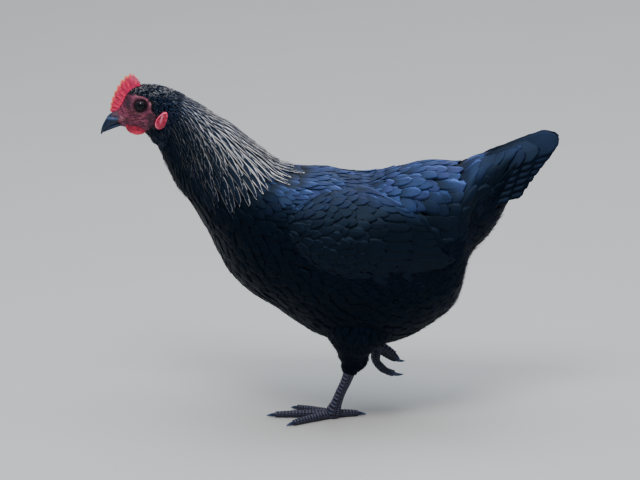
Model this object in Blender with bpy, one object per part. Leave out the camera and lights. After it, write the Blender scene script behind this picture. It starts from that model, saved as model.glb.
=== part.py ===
"""Norfolk Grey hen, life size, walking: it stands on its left foot and holds the right one up.

The hen faces -X, its left side is -Y and +Z is up. The origin lies on the floor under the
middle of its length. Every size below is in millimetres and becomes metres in mesh_object.
"""
import math

import bmesh
import bpy
import numpy as np
from mathutils import Vector
from mathutils.bvhtree import BVHTree

MM = 0.001
GAP = 0.35                     # space kept between two touching nodes
SEED = 11
MERGE = 2e-6                   # metres: corners closer than this are one
SHARP_ANGLE = 35.0             # degrees between two faces from which their edge looks sharp

# Body stations from the nape to the tail base: the back point (x, z), the belly point (x, z),
# the half width, and how deep the hackle feathers lie over the core there.
BODY = np.array([
    (-161.0, 355.5, -180.5, 293.5, 21.5, 2.6),
    (-149.0, 349.5, -176.5, 286.0, 25.0, 3.6),
    (-134.0, 340.5, -172.0, 276.0, 28.5, 4.2),
    (-117.0, 328.5, -166.0, 264.0, 33.0, 4.4),
    (-101.5, 318.5, -160.0, 252.0, 39.0, 4.4),
    (-86.0, 303.5, -154.0, 244.0, 46.0, 4.4),
    (-69.0, 289.5, -147.0, 236.0, 54.0, 4.4),
    (-53.0, 276.5, -137.0, 220.5, 61.5, 4.0),
    (-37.0, 270.5, -127.0, 203.5, 67.0, 2.5),
    (-20.0, 268.5, -117.0, 182.0, 71.0, 0.8),
    (0.0, 268.3, -104.0, 159.5, 74.0, 0.0),
    (20.0, 264.5, -84.0, 139.5, 76.0, 0.0),
    (43.0, 261.8, -58.0, 123.0, 77.5, 0.0),
    (62.0, 267.2, -33.0, 105.0, 77.5, 0.0),
    (80.0, 271.6, -5.0, 90.0, 76.0, 0.0),
    (99.0, 276.8, 40.0, 81.0, 72.0, 0.0),
    (118.0, 277.4, 77.0, 88.0, 66.5, 0.0),
    (135.0, 276.6, 110.0, 107.5, 60.0, 0.0),
    (147.0, 281.0, 131.0, 128.0, 53.0, 0.0),
    (158.0, 286.0, 144.0, 174.0, 43.0, 0.0),
    (170.0, 290.0, 162.0, 196.0, 36.0, 0.0),
    (180.0, 294.0, 176.0, 214.0, 31.0, 0.0),
    (192.0, 298.0, 188.0, 236.0, 25.0, 0.0),
    (206.0, 300.0, 200.0, 262.0, 14.0, 0.0),
])
NECK_END = 6                   # station where the neck meets the torso
TORSO_END = 20                 # station where the torso meets the tail
BODY_LIFT = 0.06               # how far above the middle the body is widest
BODY_FULL = 0.12               # how much fuller than an ellipse its section is
NECK_MESH = (7, 12)            # rings and points round them
TORSO_MESH = (23, 20)
TAIL_MESH = (6, 16)
GUIDE_MESH = (90, 72)          # a fine copy of the torso that the wings are laid on
NECK_SPLIT = GAP / 2 / 22.0    # half a gap in stations, where stations lie 22 mm apart
TAIL_SPLIT = GAP / 2 / 10.0    # and where they lie 10 mm apart

# Head stations from the face to the nape: crown point, jaw point, half width.
HEAD = np.array([
    (-221.5, 333.5, -221.0, 318.5, 6.2, 0.0),
    (-216.5, 341.0, -218.0, 316.5, 9.2, 0.0),
    (-211.5, 351.0, -213.5, 315.5, 12.2, 0.0),
    (-205.0, 357.5, -208.0, 315.0, 14.6, 0.0),
    (-198.5, 361.0, -202.0, 314.5, 15.8, 0.0),
    (-191.0, 362.3, -197.0, 313.0, 16.6, 0.0),
    (-184.0, 362.3, -192.5, 309.5, 17.4, 0.0),
    (-177.5, 361.4, -188.0, 304.5, 18.4, 0.0),
    (-170.0, 359.2, -184.5, 299.0, 19.6, 0.0),
    (-161.6, 355.8, -181.1, 293.8, 21.4, 0.0),
])
HEAD_LIFT = 0.14
HEAD_FULL = 0.10

EYE_AT = (-198.5, 343.0)       # eye centre in the side view
EYE_OUT = 11.2                 # eye centre from the middle plane
EYE_RADIUS = 6.4
LID_RADIUS = 6.5               # middle of the lid ring
LID_THICK = 1.1
LID_OUT = 15.3

# Beak stations: culmen point, lower edge point, half width.
BEAK_UPPER = np.array([
    (-217.0, 334.0, -209.5, 323.8, 7.6, 0.0),
    (-224.5, 332.2, -216.5, 320.6, 6.8, 0.0),
    (-230.6, 328.0, -223.0, 318.0, 5.4, 0.0),
    (-235.2, 322.2, -229.5, 315.6, 3.8, 0.0),
    (-238.4, 315.6, -234.8, 312.2, 2.2, 0.0),
    (-239.6, 309.0, -238.6, 308.2, 0.6, 0.0),
])
BEAK_LOWER = np.array([
    (-208.5, 323.2, -208.0, 316.8, 6.8, 0.0),
    (-216.7, 320.1, -216.5, 315.6, 5.6, 0.0),
    (-223.2, 317.5, -223.0, 313.0, 4.2, 0.0),
    (-229.7, 315.1, -229.4, 312.2, 2.6, 0.0),
    (-234.6, 312.1, -234.0, 311.2, 0.9, 0.0),
])
NOSTRIL_AT = (-225.6, 326.8)
NOSTRIL_OUT = 6.4
NOSTRIL_SIZE = (2.3, 1.5, 1.1)
MOUTH_MIDDLE = (-214.0, 10.5, 322.4)           # the line of the mouth on the face
MOUTH_CUT = (4.5, 3.5, 0.45)   # its half length, depth and half height

# Comb: root line on the head and outer edge, front to back, and its points.
COMB_ROOT = np.array([(-219.5, 330.0), (-213.5, 340.5), (-208.5, 349.0), (-202.5, 354.5), (-196.5, 357.5)])
COMB_EDGE = np.array([(-230.0, 332.0), (-228.6, 345.5), (-222.8, 359.0), (-214.0, 370.0), (-205.5, 373.5),
                      (-198.3, 366.0)])
COMB_POINTS = 7
COMB_NOTCH = 0.20              # notch depth as a share of the comb's height
COMB_THICK = (3.4, 1.1)        # at the root and at the edge

WATTLE_AT = (-203.5, 6.6, 317.2)
WATTLE_SIZE = (11.0, 7.6)      # half length and half height
WATTLE_THICK = 2.6
WATTLE_TILT = 12.0             # degrees that its front end is raised
WATTLE_FOLD = 0.5              # how far the folds push it sideways
LOBE_AT = (-176.5, 20.0, 326.5)
LOBE_SIZE = (5.6, 10.5)
LOBE_THICK = 3.4
LOBE_TILT = 22.0               # degrees from upright
LOBE_FOLD = 0.3

# Hackle: tiers of tapered vanes round the neck, from the head down.
HACKLE_TIERS = 7
HACKLE_AROUND = (11, 16)       # vanes in the first and in the last tier
HACKLE_RISE = (1.9, 3.1)       # how far a tip stands off the core
HACKLE_CLEAR = (0.5, 1.1)      # least space under a vane
HACKLE_FROM = 0.2              # station of the first tier's roots
HACKLE_TO = 5.15               # station of the last tier's roots
HACKLE_CAPE = 5                # first tier that lies over the shoulders
HACKLE_THICK = (0.55, 0.70)
HACKLE_REACH = 2.05            # vane length in tier spacings
HACKLE_FILL = 0.92             # vane width as a share of its room
HACKLE_ROOT = 2.4              # depth of the root in the core
HACKLE_WIDTHS = ((0.0, 0.5, 0.7, 1.0), (0.85, 1.0, 0.85, 0.14))    # places along a vane, width there

# Wing: edges of the folded wing's hand in the side view, from the shoulder back.
WING_LOWER = np.array([(-42.0, 217.0), (-20.0, 192.0), (12.0, 173.0), (46.0, 175.0), (74.0, 181.0),
                       (97.0, 190.0)])
WING_UPPER = np.array([(-42.0, 234.0), (-20.0, 244.0), (12.0, 246.0), (46.0, 244.0), (72.0, 234.0),
                       (98.0, 210.0)])
WING_DEPTH = 7.0               # thickest part of the wing
WING_EDGE = 1.0
WING_CLEAR = 2.3               # least space between the wing and the flank
WING_MESH = (8, 5)             # columns along the wing and rows across it
FLIGHT_TIPS = np.array([(90.0, 232.0), (109.0, 216.0), (122.0, 195.0), (117.0, 177.0), (62.0, 170.0)])
FLIGHT_ROOTS = np.array([(24.0, 244.0), (32.0, 233.0), (30.0, 219.0), (16.0, 205.0), (-10.0, 191.0)])
# Tiers of wing feathers: how many, where they start and stop on the way from a flight root to its
# tip, half width, height over the flank at root, fifth and tip, lean, thickness, raised shaft.
WING_TIERS = (
    (8, 0.0, 1.0, 12.0, (2.9, 3.1, 2.9), 1.7, 0.6, True),
    (7, 0.04, 0.62, 12.0, (3.2, 4.5, 4.4), 1.5, 0.65, False),
    (7, -0.16, 0.34, 11.0, (5.0, 6.9, 6.8), 1.3, 0.6, False),
)
WING_WIDTHS = ((0.0, 0.25, 0.8, 1.0), (0.6, 0.9, 1.0, 0.4))        # places along a feather, width there

# Tail: the tips and roots of its seven pairs of feathers in the side view, top to bottom.
TAIL_TIPS = np.array([(238.0, 303.6), (231.8, 296.4), (225.7, 289.3), (219.5, 282.2), (213.3, 275.0),
                      (207.2, 267.9), (201.0, 260.8)])
TAIL_ROOTS = np.array([(178.0, 284.0), (178.0, 279.5), (178.0, 275.0), (178.0, 270.0), (178.0, 265.0),
                       (178.0, 259.5), (178.0, 254.0)])
TAIL_LEAN = 28.0               # degrees that each vane leans out
TAIL_HALF = 14.0               # half width of a tail feather
TAIL_RIDGE = 7.4               # how far the top pair stands from the middle plane
TAIL_STEP = (1.7, 2.2)         # how much further out each pair stands, at root and tip
TAIL_THICK = 0.65
TAIL_WIDTHS = ((0.0, 0.45, 0.86, 1.0), (0.62, 0.95, 0.95, 0.45))   # places along a feather, width there
TAIL_BOW = 0.06                # how far its middle bulges, as a share of its half width
# Tail coverts: pairs over the base of the tail, as the first pair and the step to the next.
COVERT_PAIRS = 4
COVERT_ROOT = ((175.0, 284.0), (0.0, -10.0))
COVERT_TIP = ((212.0, 296.0), (-6.0, -10.5))
COVERT_OUT = ((12.0, 2.2), (12.5, 3.0))        # from the middle plane, at root and tip
COVERT_HALF = 11.5
COVERT_THICK = 0.7

# Legs: path points (x, y, z) and the two radii there.
THIGH_LEFT = np.array([(30.0, -28.0, 130.0, 46.0, 18.0), (29.0, -29.0, 110.0, 43.0, 27.0),
                       (26.0, -26.0, 93.0, 30.0, 23.0), (24.6, -22.0, 80.0, 18.5, 17.5),
                       (24.6, -19.5, 68.0, 15.3, 13.0), (21.6, -18.1, 58.5, 9.8, 9.6),
                       (20.6, -17.8, 53.5, 7.6, 7.6)])
THIGH_RIGHT = np.array([(42.0, 35.0, 130.0, 36.0, 16.0), (44.0, 38.0, 109.0, 31.0, 21.0),
                        (46.0, 39.5, 92.0, 19.0, 16.5), (48.0, 39.0, 80.0, 8.6, 8.6)])
SHANK_LEFT = np.array([(20.4, -17.7, 51.0, 6.2, 5.6), (12.0, -12.5, 31.0, 5.6, 5.0),
                       (5.7, -7.9, 12.8, 6.4, 6.0)])
SHANK_RIGHT = np.array([(47.8, 39.1, 81.5, 5.9, 5.4), (49.2, 38.6, 76.5, 5.6, 5.1),
                        (50.4, 38.2, 71.6, 6.2, 5.8)])
BALL_LEFT = np.array([(6.2, -8.1, 14.0, 6.2, 5.8), (4.4, -6.8, 7.6, 8.4, 8.0), (2.8, -6.2, 2.4, 6.0, 6.0)])
BALL_RIGHT = np.array([(50.3, 38.3, 73.0, 6.0, 5.6), (50.6, 38.2, 66.0, 7.6, 7.4),
                       (50.4, 38.0, 60.5, 4.6, 4.6)])
SCUTE_SHARE = 0.84             # where along its length a scute is highest
SCUTE_RAISE = 0.8              # how far a scute's lower edge stands off the leg
SHANK_SCUTES = {"left": 8, "right": 2}
TOE_RADIUS = (4.9, 3.3)        # at the foot and at the claw
TOE_SCUTE = 9.0                # length of one toe scute
TOE_SHARES = (0.0, 0.3, 0.65, 1.0)             # places along a standing toe
TOE_REST = 0.86                # a standing toe's middle lies this share of its radius over the floor
TOE_ARCH = 0.7                 # and this much higher half way along
FLOOR_BLOCK = (200.0, 60.0)    # half width and depth of the block that trims the soles
CLAW_LENGTH = 11.5
CLAW_RADIUS = 2.1
CLAW_DROOP = {"left": 0.8, "right": 3.4}

# Toes of the standing foot: length and heading in degrees, 0 is straight ahead and + is outward.
TOES_LEFT = {"inner": (45.0, -36.0), "middle": (60.0, -2.0), "outer": (49.0, 34.0), "hind": (27.0, 195.0)}
# Toes of the lifted foot: the points of each hanging toe after the foot.
TOES_RIGHT = {
    "middle": np.array([(48.6, 38.0, 62.0), (47.8, 38.0, 51.8), (52.8, 37.5, 43.6), (60.4, 37.0, 38.2),
                        (67.4, 36.5, 35.6)]),
    "outer": np.array([(50.6, 40.0, 64.0), (55.5, 44.5, 58.0), (62.5, 46.8, 52.2), (69.4, 48.0, 48.0)]),
    "inner": np.array([(49.5, 35.5, 62.0), (48.5, 31.0, 53.0), (54.0, 28.0, 44.5), (62.0, 26.5, 40.5)]),
    "hind": np.array([(53.0, 37.0, 66.0), (60.0, 35.5, 63.0), (68.0, 34.5, 57.5)]),
}

COLOURS = {
    "black_plumage": ((0.012, 0.013, 0.020), 0.45),
    "hackle_plumage": ((0.16, 0.16, 0.17), 0.50),
    "face_skin": ((0.42, 0.05, 0.06), 0.50),
    "comb_skin": ((0.62, 0.05, 0.07), 0.45),
    "beak_horn": ((0.035, 0.035, 0.045), 0.35),
    "eye_gloss": ((0.02, 0.012, 0.008), 0.08),
    "leg_scale": ((0.055, 0.055, 0.075), 0.45),
    "claw_horn": ((0.05, 0.045, 0.05), 0.40),
}


def clear_scene():
    """Remove whatever the scene holds, so that only the hen is in it."""
    for item in list(bpy.data.objects):
        bpy.data.objects.remove(item, do_unlink=True)


def material(name):
    """The Principled material of that name, made once."""
    found = bpy.data.materials.get(name)
    if found:
        return found
    colour, roughness = COLOURS[name]
    made = bpy.data.materials.new(name)
    made.use_nodes = True
    shader = made.node_tree.nodes["Principled BSDF"]
    shader.inputs["Base Color"].default_value = (*colour, 1.0)
    shader.inputs["Roughness"].default_value = roughness
    shader.inputs["Metallic"].default_value = 0.0
    made.diffuse_color = (*colour, 1.0)
    return made


def mesh_object(name, points, faces, look):
    """A closed mesh from points in millimetres, its faces turned outward."""
    mesh = bpy.data.meshes.new(name)
    mesh.from_pydata([tuple(p) for p in np.asarray(points) * MM], [], faces)
    work = bmesh.new()
    work.from_mesh(mesh)
    bmesh.ops.recalc_face_normals(work, faces=work.faces)
    if work.calc_volume(signed=True) < 0.0:
        bmesh.ops.reverse_faces(work, faces=work.faces)
    work.to_mesh(mesh)
    work.free()
    mesh.materials.append(material(look))
    made = bpy.data.objects.new(name, mesh)
    bpy.context.scene.collection.objects.link(made)
    return made


def spline(rows, at):
    """Points on a smooth curve through rows, at fractional row numbers (Catmull-Rom)."""
    rows = np.asarray(rows, float)
    at = np.clip(np.asarray(at, float), 0.0, len(rows) - 1.0)
    first = np.minimum(at.astype(int), len(rows) - 2)
    part = (at - first)[..., None]
    padded = np.vstack([2 * rows[:1] - rows[1:2], rows, 2 * rows[-1:] - rows[-2:-1]])
    a, b, c, d = (padded[first + k] for k in range(4))
    return 0.5 * (2 * b + (c - a) * part + (2 * a - 5 * b + 4 * c - d) * part ** 2
                  + (3 * b - a - 3 * c + d) * part ** 3)


def loft_point(rows, at, angle, lift, full):
    """A point of a lofted skin: at runs along the stations, angle from the back round by the left."""
    row = spline(rows, at)
    back = np.stack([row[..., 0], np.zeros_like(row[..., 0]), row[..., 1]], -1)
    belly = np.stack([row[..., 2], np.zeros_like(row[..., 0]), row[..., 3]], -1)
    middle = (back + belly) / 2
    half = (back - belly) / 2
    reach = np.linalg.norm(half, axis=-1, keepdims=True)
    cover = row[..., 5:6]
    half = half * (1 - cover / reach)
    width = row[..., 4:5] - cover
    angle = np.asarray(angle, float)[..., None]
    along = np.cos(angle) + lift * np.sin(angle) ** 2
    across = np.sin(angle) * (1 + full * np.cos(angle) ** 2)
    return middle + half * along + width * across * np.array([0.0, -1.0, 0.0])


def body_point(at, angle, out=0.0):
    """A point of the body's core, moved out along the skin's own normal."""
    at, angle = np.broadcast_arrays(np.asarray(at, float), np.asarray(angle, float))
    step = 0.02
    here = loft_point(BODY, at, angle, BODY_LIFT, BODY_FULL)
    along = (loft_point(BODY, at + step, angle, BODY_LIFT, BODY_FULL)
             - loft_point(BODY, at - step, angle, BODY_LIFT, BODY_FULL))
    round_ = (loft_point(BODY, at, angle + step, BODY_LIFT, BODY_FULL)
              - loft_point(BODY, at, angle - step, BODY_LIFT, BODY_FULL))
    normal = np.cross(round_, along)
    normal /= np.maximum(np.linalg.norm(normal, axis=-1, keepdims=True), 1e-9)
    return here + normal * np.asarray(out, float)[..., None]


def skin(name, rings, look):
    """A closed tube through rings of points, each end closed by a fan to its middle."""
    count, around = rings.shape[:2]
    points = np.vstack([rings.reshape(-1, 3), rings[0].mean(0), rings[-1].mean(0)])
    first, last = count * around, count * around + 1
    faces = []
    for j in range(around):
        k = (j + 1) % around
        for i in range(count - 1):
            faces.append((i * around + j, i * around + k, (i + 1) * around + k, (i + 1) * around + j))
        faces.append((j, k, first))
        faces.append(((count - 1) * around + k, (count - 1) * around + j, last))
    return mesh_object(name, points, faces, look)


def loft(name, rows, start, end, rings, around, look, lift=0.0, full=0.0):
    """A closed piece of a lofted skin between two stations."""
    at = np.linspace(start, end, rings)[:, None]
    angle = np.linspace(0, 2 * math.pi, around, endpoint=False)[None, :]
    at, angle = np.broadcast_arrays(at, angle)
    return skin(name, loft_point(rows, at, angle, lift, full), look)


def grown(source, by):
    """A copy of an object with its skin moved out along the normals, used to cut a neighbour."""
    copy = bpy.data.objects.new(source.name + "_cutter", source.data.copy())
    bpy.context.scene.collection.objects.link(copy)
    for vertex, normal in zip(copy.data.vertices, [v.normal.copy() for v in source.data.vertices]):
        vertex.co += normal * by * MM
    return copy


def vane(name, top, under, look):
    """A closed feather vane: rows of points of its upper and lower face, split alike."""
    rows, columns = top.shape[:2]
    points = np.vstack([top.reshape(-1, 3), under.reshape(-1, 3)])
    low = rows * columns
    faces = []
    for i in range(rows - 1):
        for j in range(columns - 1):
            a, b = i * columns + j, i * columns + j + 1
            c, d = a + columns, b + columns
            faces += [(a, b, d), (a, d, c), (low + b, low + a, low + d), (low + d, low + a, low + c)]
        for j in (0, columns - 1):
            a, c = i * columns + j, (i + 1) * columns + j
            faces += [(a, c, low + c), (a, low + c, low + a)]
    for i in (0, rows - 1):
        for j in range(columns - 1):
            a, b = i * columns + j, i * columns + j + 1
            faces += [(a, b, low + b), (a, low + b, low + a)]
    return mesh_object(name, points, faces, look)


def evaluated(target):
    """Apply the object's modifiers to its mesh."""
    view = bpy.context.evaluated_depsgraph_get()
    mesh = bpy.data.meshes.new_from_object(target.evaluated_get(view))
    target.modifiers.clear()
    target.data = mesh


def keep_largest(target):
    """Keep only the largest closed surface of the mesh."""
    for merge, method in ((MERGE, "BEAUTY"), (MERGE, "EAR_CLIP"), (0.0, "BEAUTY"), (0.0, "EAR_CLIP")):
        work = bmesh.new()
        work.from_mesh(target.data)
        if merge:
            bmesh.ops.remove_doubles(work, verts=work.verts, dist=merge)
            bmesh.ops.dissolve_degenerate(work, edges=work.edges, dist=merge)
        idle = [vertex for vertex in work.verts if len(vertex.link_edges) == 2]
        bmesh.ops.dissolve_verts(work, verts=idle)
        bmesh.ops.triangulate(work, faces=work.faces, ngon_method=method)
        if all(len(edge.link_faces) == 2 for edge in work.edges):
            break
    left = set(work.faces)
    islands = []
    while left:
        edge = [left.pop()]
        island = list(edge)
        while edge:
            for side in edge.pop().edges:
                for face in side.link_faces:
                    if face in left:
                        left.remove(face)
                        edge.append(face)
                        island.append(face)
        size = sum(f.verts[0].co.dot(f.verts[1].co.cross(f.verts[2].co)) for f in island)
        islands.append((abs(size), island))
    islands.sort(key=lambda pair: pair[0])
    for size, island in islands[:-1]:
        bmesh.ops.delete(work, geom=island, context="FACES")
    work.to_mesh(target.data)
    work.free()


def combine(target, pieces, operation="UNION", solver="MANIFOLD"):
    """Join closed pieces to the target, or cut them from it, and remove them."""
    group = bpy.data.collections.new(target.name + "_pieces")
    bpy.context.scene.collection.children.link(group)
    for piece in pieces:
        group.objects.link(piece)
    change = target.modifiers.new("combine", "BOOLEAN")
    change.operation = operation
    change.operand_type = "COLLECTION"
    change.collection = group
    change.solver = solver
    evaluated(target)
    for piece in pieces:
        bpy.data.objects.remove(piece, do_unlink=True)
    bpy.data.collections.remove(group)
    keep_largest(target)


def cut(target, cutters):
    """Cut each closed piece from the target, one at a time."""
    for cutter in cutters:
        combine(target, [cutter], "DIFFERENCE")


def ball(name, centre, radii, look, across=12, high=6):
    """An ellipsoid, upright along Y so that its poles face the sides."""
    turn = np.linspace(0, 2 * math.pi, across, endpoint=False)[None, :]
    lean = np.linspace(-math.pi / 2, math.pi / 2, high + 2)[1:-1, None]
    rings = np.stack([radii[0] * np.cos(lean) * np.cos(turn), radii[1] * np.sin(lean) * np.ones_like(turn),
                      radii[2] * np.cos(lean) * np.sin(turn)], -1)
    made = skin(name, rings + np.array(centre), look)
    ends = made.data.vertices
    ends[len(ends) - 2].co.y = (centre[1] - radii[1]) * MM
    ends[len(ends) - 1].co.y = (centre[1] + radii[1]) * MM
    return made


def torus(name, centre, major, minor, look, around=14, section=5):
    """A ring round an axis along Y."""
    turn = np.linspace(0, 2 * math.pi, around, endpoint=False)[:, None]
    roll = np.linspace(0, 2 * math.pi, section, endpoint=False)[None, :]
    out = major + minor * np.cos(roll)
    grid = np.stack([out * np.cos(turn), minor * np.sin(roll) * np.ones_like(turn), out * np.sin(turn)], -1)
    faces = []
    for i in range(around):
        for j in range(section):
            p, q = (i + 1) % around, (j + 1) % section
            faces.append((i * section + j, p * section + j, p * section + q, i * section + q))
    return mesh_object(name, grid.reshape(-1, 3) + np.array(centre), faces, look)


def flap(name, centre, half, thick, tilt, folds, look, around=14, rings=3):
    """A soft lens-shaped flap of skin in the side view, with a wavy fold across it."""
    turn = np.linspace(0, 2 * math.pi, around, endpoint=False)
    grid = []
    for side in (-1, 1):
        shares = np.linspace(0.0, 1.0, rings + 1)[1:]
        for share in (shares if side < 0 else shares[::-1]):
            x, z = half[0] * share * np.cos(turn), half[1] * share * np.sin(turn)
            y = side * thick / 2 * math.sqrt(max(1.0 - share ** 2, 0.04)) + folds * np.sin(4.0 * x / half[0])
            grid.append(np.stack([x, y, z], -1))
    rings_grid = np.array(grid)
    lean = math.radians(tilt)
    turned = rings_grid.copy()
    turned[..., 0] = rings_grid[..., 0] * math.cos(lean) + rings_grid[..., 2] * math.sin(lean)
    turned[..., 2] = rings_grid[..., 2] * math.cos(lean) - rings_grid[..., 0] * math.sin(lean)
    return skin(name, turned + np.array(centre), look)


def path_rings(rows, around, at=None, raised=None, up=(-1.0, 0.0, 0.3)):
    """Rings along a path of (x, y, z, radius fore and aft, radius sideways); raised scutes face up."""
    rows = np.asarray(rows, float)
    at = np.arange(len(rows), dtype=float) if at is None else at
    raised = np.zeros(len(at)) if raised is None else raised
    fine = spline(rows, at)
    ahead = spline(rows, at + 0.05)[:, :3] - spline(rows, at - 0.05)[:, :3]
    ahead /= np.linalg.norm(ahead, axis=1, keepdims=True)
    side = np.cross(ahead, np.array(up))
    side /= np.linalg.norm(side, axis=1, keepdims=True)
    rise = np.cross(side, ahead)
    turn = np.linspace(0, 2 * math.pi, around, endpoint=False)
    proud = raised[:, None] * np.clip(np.cos(turn), 0, 1)
    tall = (fine[:, 3, None] + proud) * np.cos(turn)
    wide = (fine[:, 4, None] + proud) * np.sin(turn)
    return fine[:, None, :3] + rise[:, None] * tall[..., None] + side[:, None] * wide[..., None]


def scaled_rings(rows, scutes, around, up):
    """Rings of a scaly limb: each scute starts flush and ends raised over the next one."""
    reach = len(rows) - 1
    steps = [(k + share) / scutes * reach for k in range(scutes) for share in (0.0, SCUTE_SHARE)]
    raised = [SCUTE_RAISE * (share > 0) for k in range(scutes) for share in (0.0, SCUTE_SHARE)]
    return path_rings(rows, around, np.array(steps + [reach]), np.array(raised + [0.0]), up)


def make_core():
    """Neck and torso as two closed lengths of the body skin, a thin gap apart."""
    neck = loft("neck", BODY, 0.0, NECK_END - NECK_SPLIT, *NECK_MESH, "hackle_plumage", BODY_LIFT, BODY_FULL)
    torso = loft("torso", BODY, NECK_END + NECK_SPLIT, TORSO_END - TAIL_SPLIT, *TORSO_MESH, "black_plumage",
                 BODY_LIFT, BODY_FULL)
    return neck, torso


def make_hackle(neck):
    """Hackle vanes in tiers: each rises from its root in the neck to a pointed tip."""
    draw = np.random.default_rng(SEED)
    tiers = np.linspace(0.0, 1.0, HACKLE_TIERS)
    starts = HACKLE_FROM + (HACKLE_TO - HACKLE_FROM) * tiers ** 0.9
    pieces = []
    for k, share in enumerate(tiers):
        gap_ahead = starts[min(k + 1, HACKLE_TIERS - 1)] - starts[min(k, HACKLE_TIERS - 2)]
        length = HACKLE_REACH * gap_ahead * (1.0 + 0.6 * share ** 3)
        count = round(HACKLE_AROUND[0] + (HACKLE_AROUND[1] - HACKLE_AROUND[0]) * share)
        rise = HACKLE_RISE[0] + (HACKLE_RISE[1] - HACKLE_RISE[0]) * share
        thick = HACKLE_THICK[0] + (HACKLE_THICK[1] - HACKLE_THICK[0]) * share
        clear = HACKLE_CLEAR[0] + (HACKLE_CLEAR[1] - HACKLE_CLEAR[0]) * share
        for j in range(count):
            angle = (j + 0.5 * (k % 2) + draw.uniform(-0.03, 0.03)) * 2 * math.pi / count
            reach = length * draw.uniform(0.94, 1.04)
            shares = np.array([0.0, 0.35, 0.7, 1.0] if k == HACKLE_TIERS - 1 else [0.0, 0.55, 1.0])
            columns = np.linspace(-1.0, 1.0, 3 if k >= HACKLE_CAPE else 2)
            height = clear + rise * shares
            height[0] = -HACKLE_ROOT
            half = math.pi / count * HACKLE_FILL * np.interp(shares, *HACKLE_WIDTHS)
            at = (starts[k] + reach * shares)[:, None] * np.ones(len(columns))
            turn = angle + half[:, None] * columns
            low = body_point(at, turn, height[:, None] * np.ones(len(columns)))
            high = body_point(at, turn, (height + thick)[:, None] * np.ones(len(columns)))
            pieces.append(vane("hackle", high, low, "hackle_plumage"))
    combine(neck, pieces)


def side_reader():
    """A function that gives the body skin's place and normal at side-view points."""
    guide = loft("guide", BODY, NECK_END, TORSO_END, *GUIDE_MESH, "black_plumage", BODY_LIFT, BODY_FULL)
    corners = [vertex.co for vertex in guide.data.vertices]
    tree = BVHTree.FromPolygons(corners, [face.vertices for face in guide.data.polygons])
    bpy.data.objects.remove(guide, do_unlink=True)

    def read(xz, side, out):
        points = []
        for (x, z), lift in zip(np.reshape(xz, (-1, 2)), np.ravel(out)):
            origin = Vector((x, side * 300.0, z)) * MM
            place, normal, _, _ = tree.ray_cast(origin, Vector((0.0, -side, 0.0)))
            if place is None:
                place, normal, _, _ = tree.find_nearest(Vector((x, side * 45.0, z)) * MM)
            points.append(np.array(place) / MM + np.array(normal) * lift)
        return np.array(points).reshape(*np.shape(out), 3)
    return read


def wing_vane(read, side, root, tip, half, lifts, tilt, thick, ridge):
    """One wing feather laid on the flank, its lower edge standing over the next one."""
    shares = np.array(WING_WIDTHS[0] if ridge else [0.0, 0.75, 1.0])
    widths = half * np.interp(shares, *WING_WIDTHS)
    line = root + (tip - root) * shares[:, None]
    ahead = (tip - root) / np.linalg.norm(tip - root)
    across = np.array([ahead[1], -ahead[0]])
    columns = np.linspace(-1.0, 1.0, 3 if ridge else 2)
    places = line[:, None] + across * (widths[:, None] * columns)[..., None]
    base = np.interp(shares, [0.0, 0.2, 1.0], lifts)[:, None] + tilt * (columns + 1) / 2
    low = read(places, side, base)
    high = read(places, side, base + thick * (1.3 - 0.45 * np.abs(columns)))
    return vane("feather", high, low, "black_plumage")


def make_wing(name, side, read):
    """A folded wing: the padded hand and arm, then flight feathers and two tiers of coverts."""
    columns, rows = WING_MESH
    along = np.linspace(0, 1, columns)
    lower = spline(WING_LOWER, along * (len(WING_LOWER) - 1))
    upper = spline(WING_UPPER, along * (len(WING_UPPER) - 1))
    share = np.linspace(0, 1, rows)
    places = lower[:, None] * (1 - share)[None, :, None] + upper[:, None] * share[None, :, None]
    crown = np.sin(math.pi * np.clip(along * 0.92 + 0.02, 0, 1) ** 0.8)[:, None]
    crown = crown * (1 - (2 * share - 1) ** 4)[None, :]
    under = read(places, side, np.full((columns, rows), WING_CLEAR))
    over = read(places, side, WING_CLEAR + WING_EDGE + (WING_DEPTH - WING_EDGE) * crown)
    wing = vane(name, over, under, "black_plumage")
    pieces = []
    for tier, (count, start, stop, half, lifts, tilt, thick, ridge) in enumerate(WING_TIERS):
        shift = 0.5 * (tier % 2)
        at = (np.arange(count) + shift) / (count - 1 + shift) * (len(FLIGHT_TIPS) - 1)
        tips = spline(FLIGHT_TIPS, at)
        roots = spline(FLIGHT_ROOTS, at)
        for root, tip in zip(roots, tips):
            begin = root + (tip - root) * start
            end = root + (tip - root) * stop
            pieces.append(wing_vane(read, side, begin, end, half, lifts, tilt, thick, ridge))
    combine(wing, pieces)
    return wing


def tail_vane(side, root, tip, out_root, out_tip, half, thick, ridge):
    """One tail feather, leaning out like the side of a tent."""
    shares = np.array(TAIL_WIDTHS[0] if ridge else [0.0, 0.8, 1.0])
    widths = half * np.interp(shares, *TAIL_WIDTHS)
    line = root + (tip - root) * shares[:, None]
    out = out_root + (out_tip - out_root) * shares
    centre = np.stack([line[:, 0], side * out, line[:, 1]], -1)
    ahead = centre[-1] - centre[0]
    ahead /= np.linalg.norm(ahead)
    lean = math.radians(TAIL_LEAN)
    down = np.array([ahead[2], 0.0, -ahead[0]])
    down /= np.linalg.norm(down)
    across = down * math.cos(lean) + np.array([0.0, side * math.sin(lean), 0.0])
    outward = np.cross(ahead, across)
    outward *= math.copysign(1.0, outward[1] * side) / np.linalg.norm(outward)
    columns = np.linspace(-1.0, 1.0, 3 if ridge else 2)
    bow = TAIL_BOW * (1 - columns ** 2) * widths[:, None]
    places = centre[:, None] + across * (widths[:, None] * columns)[..., None] + outward * bow[..., None]
    depth = thick * (1.3 - 0.45 * np.abs(columns))[None, :, None]
    return vane("feather", places + outward * depth / 2, places - outward * depth / 2, "black_plumage")


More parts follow.
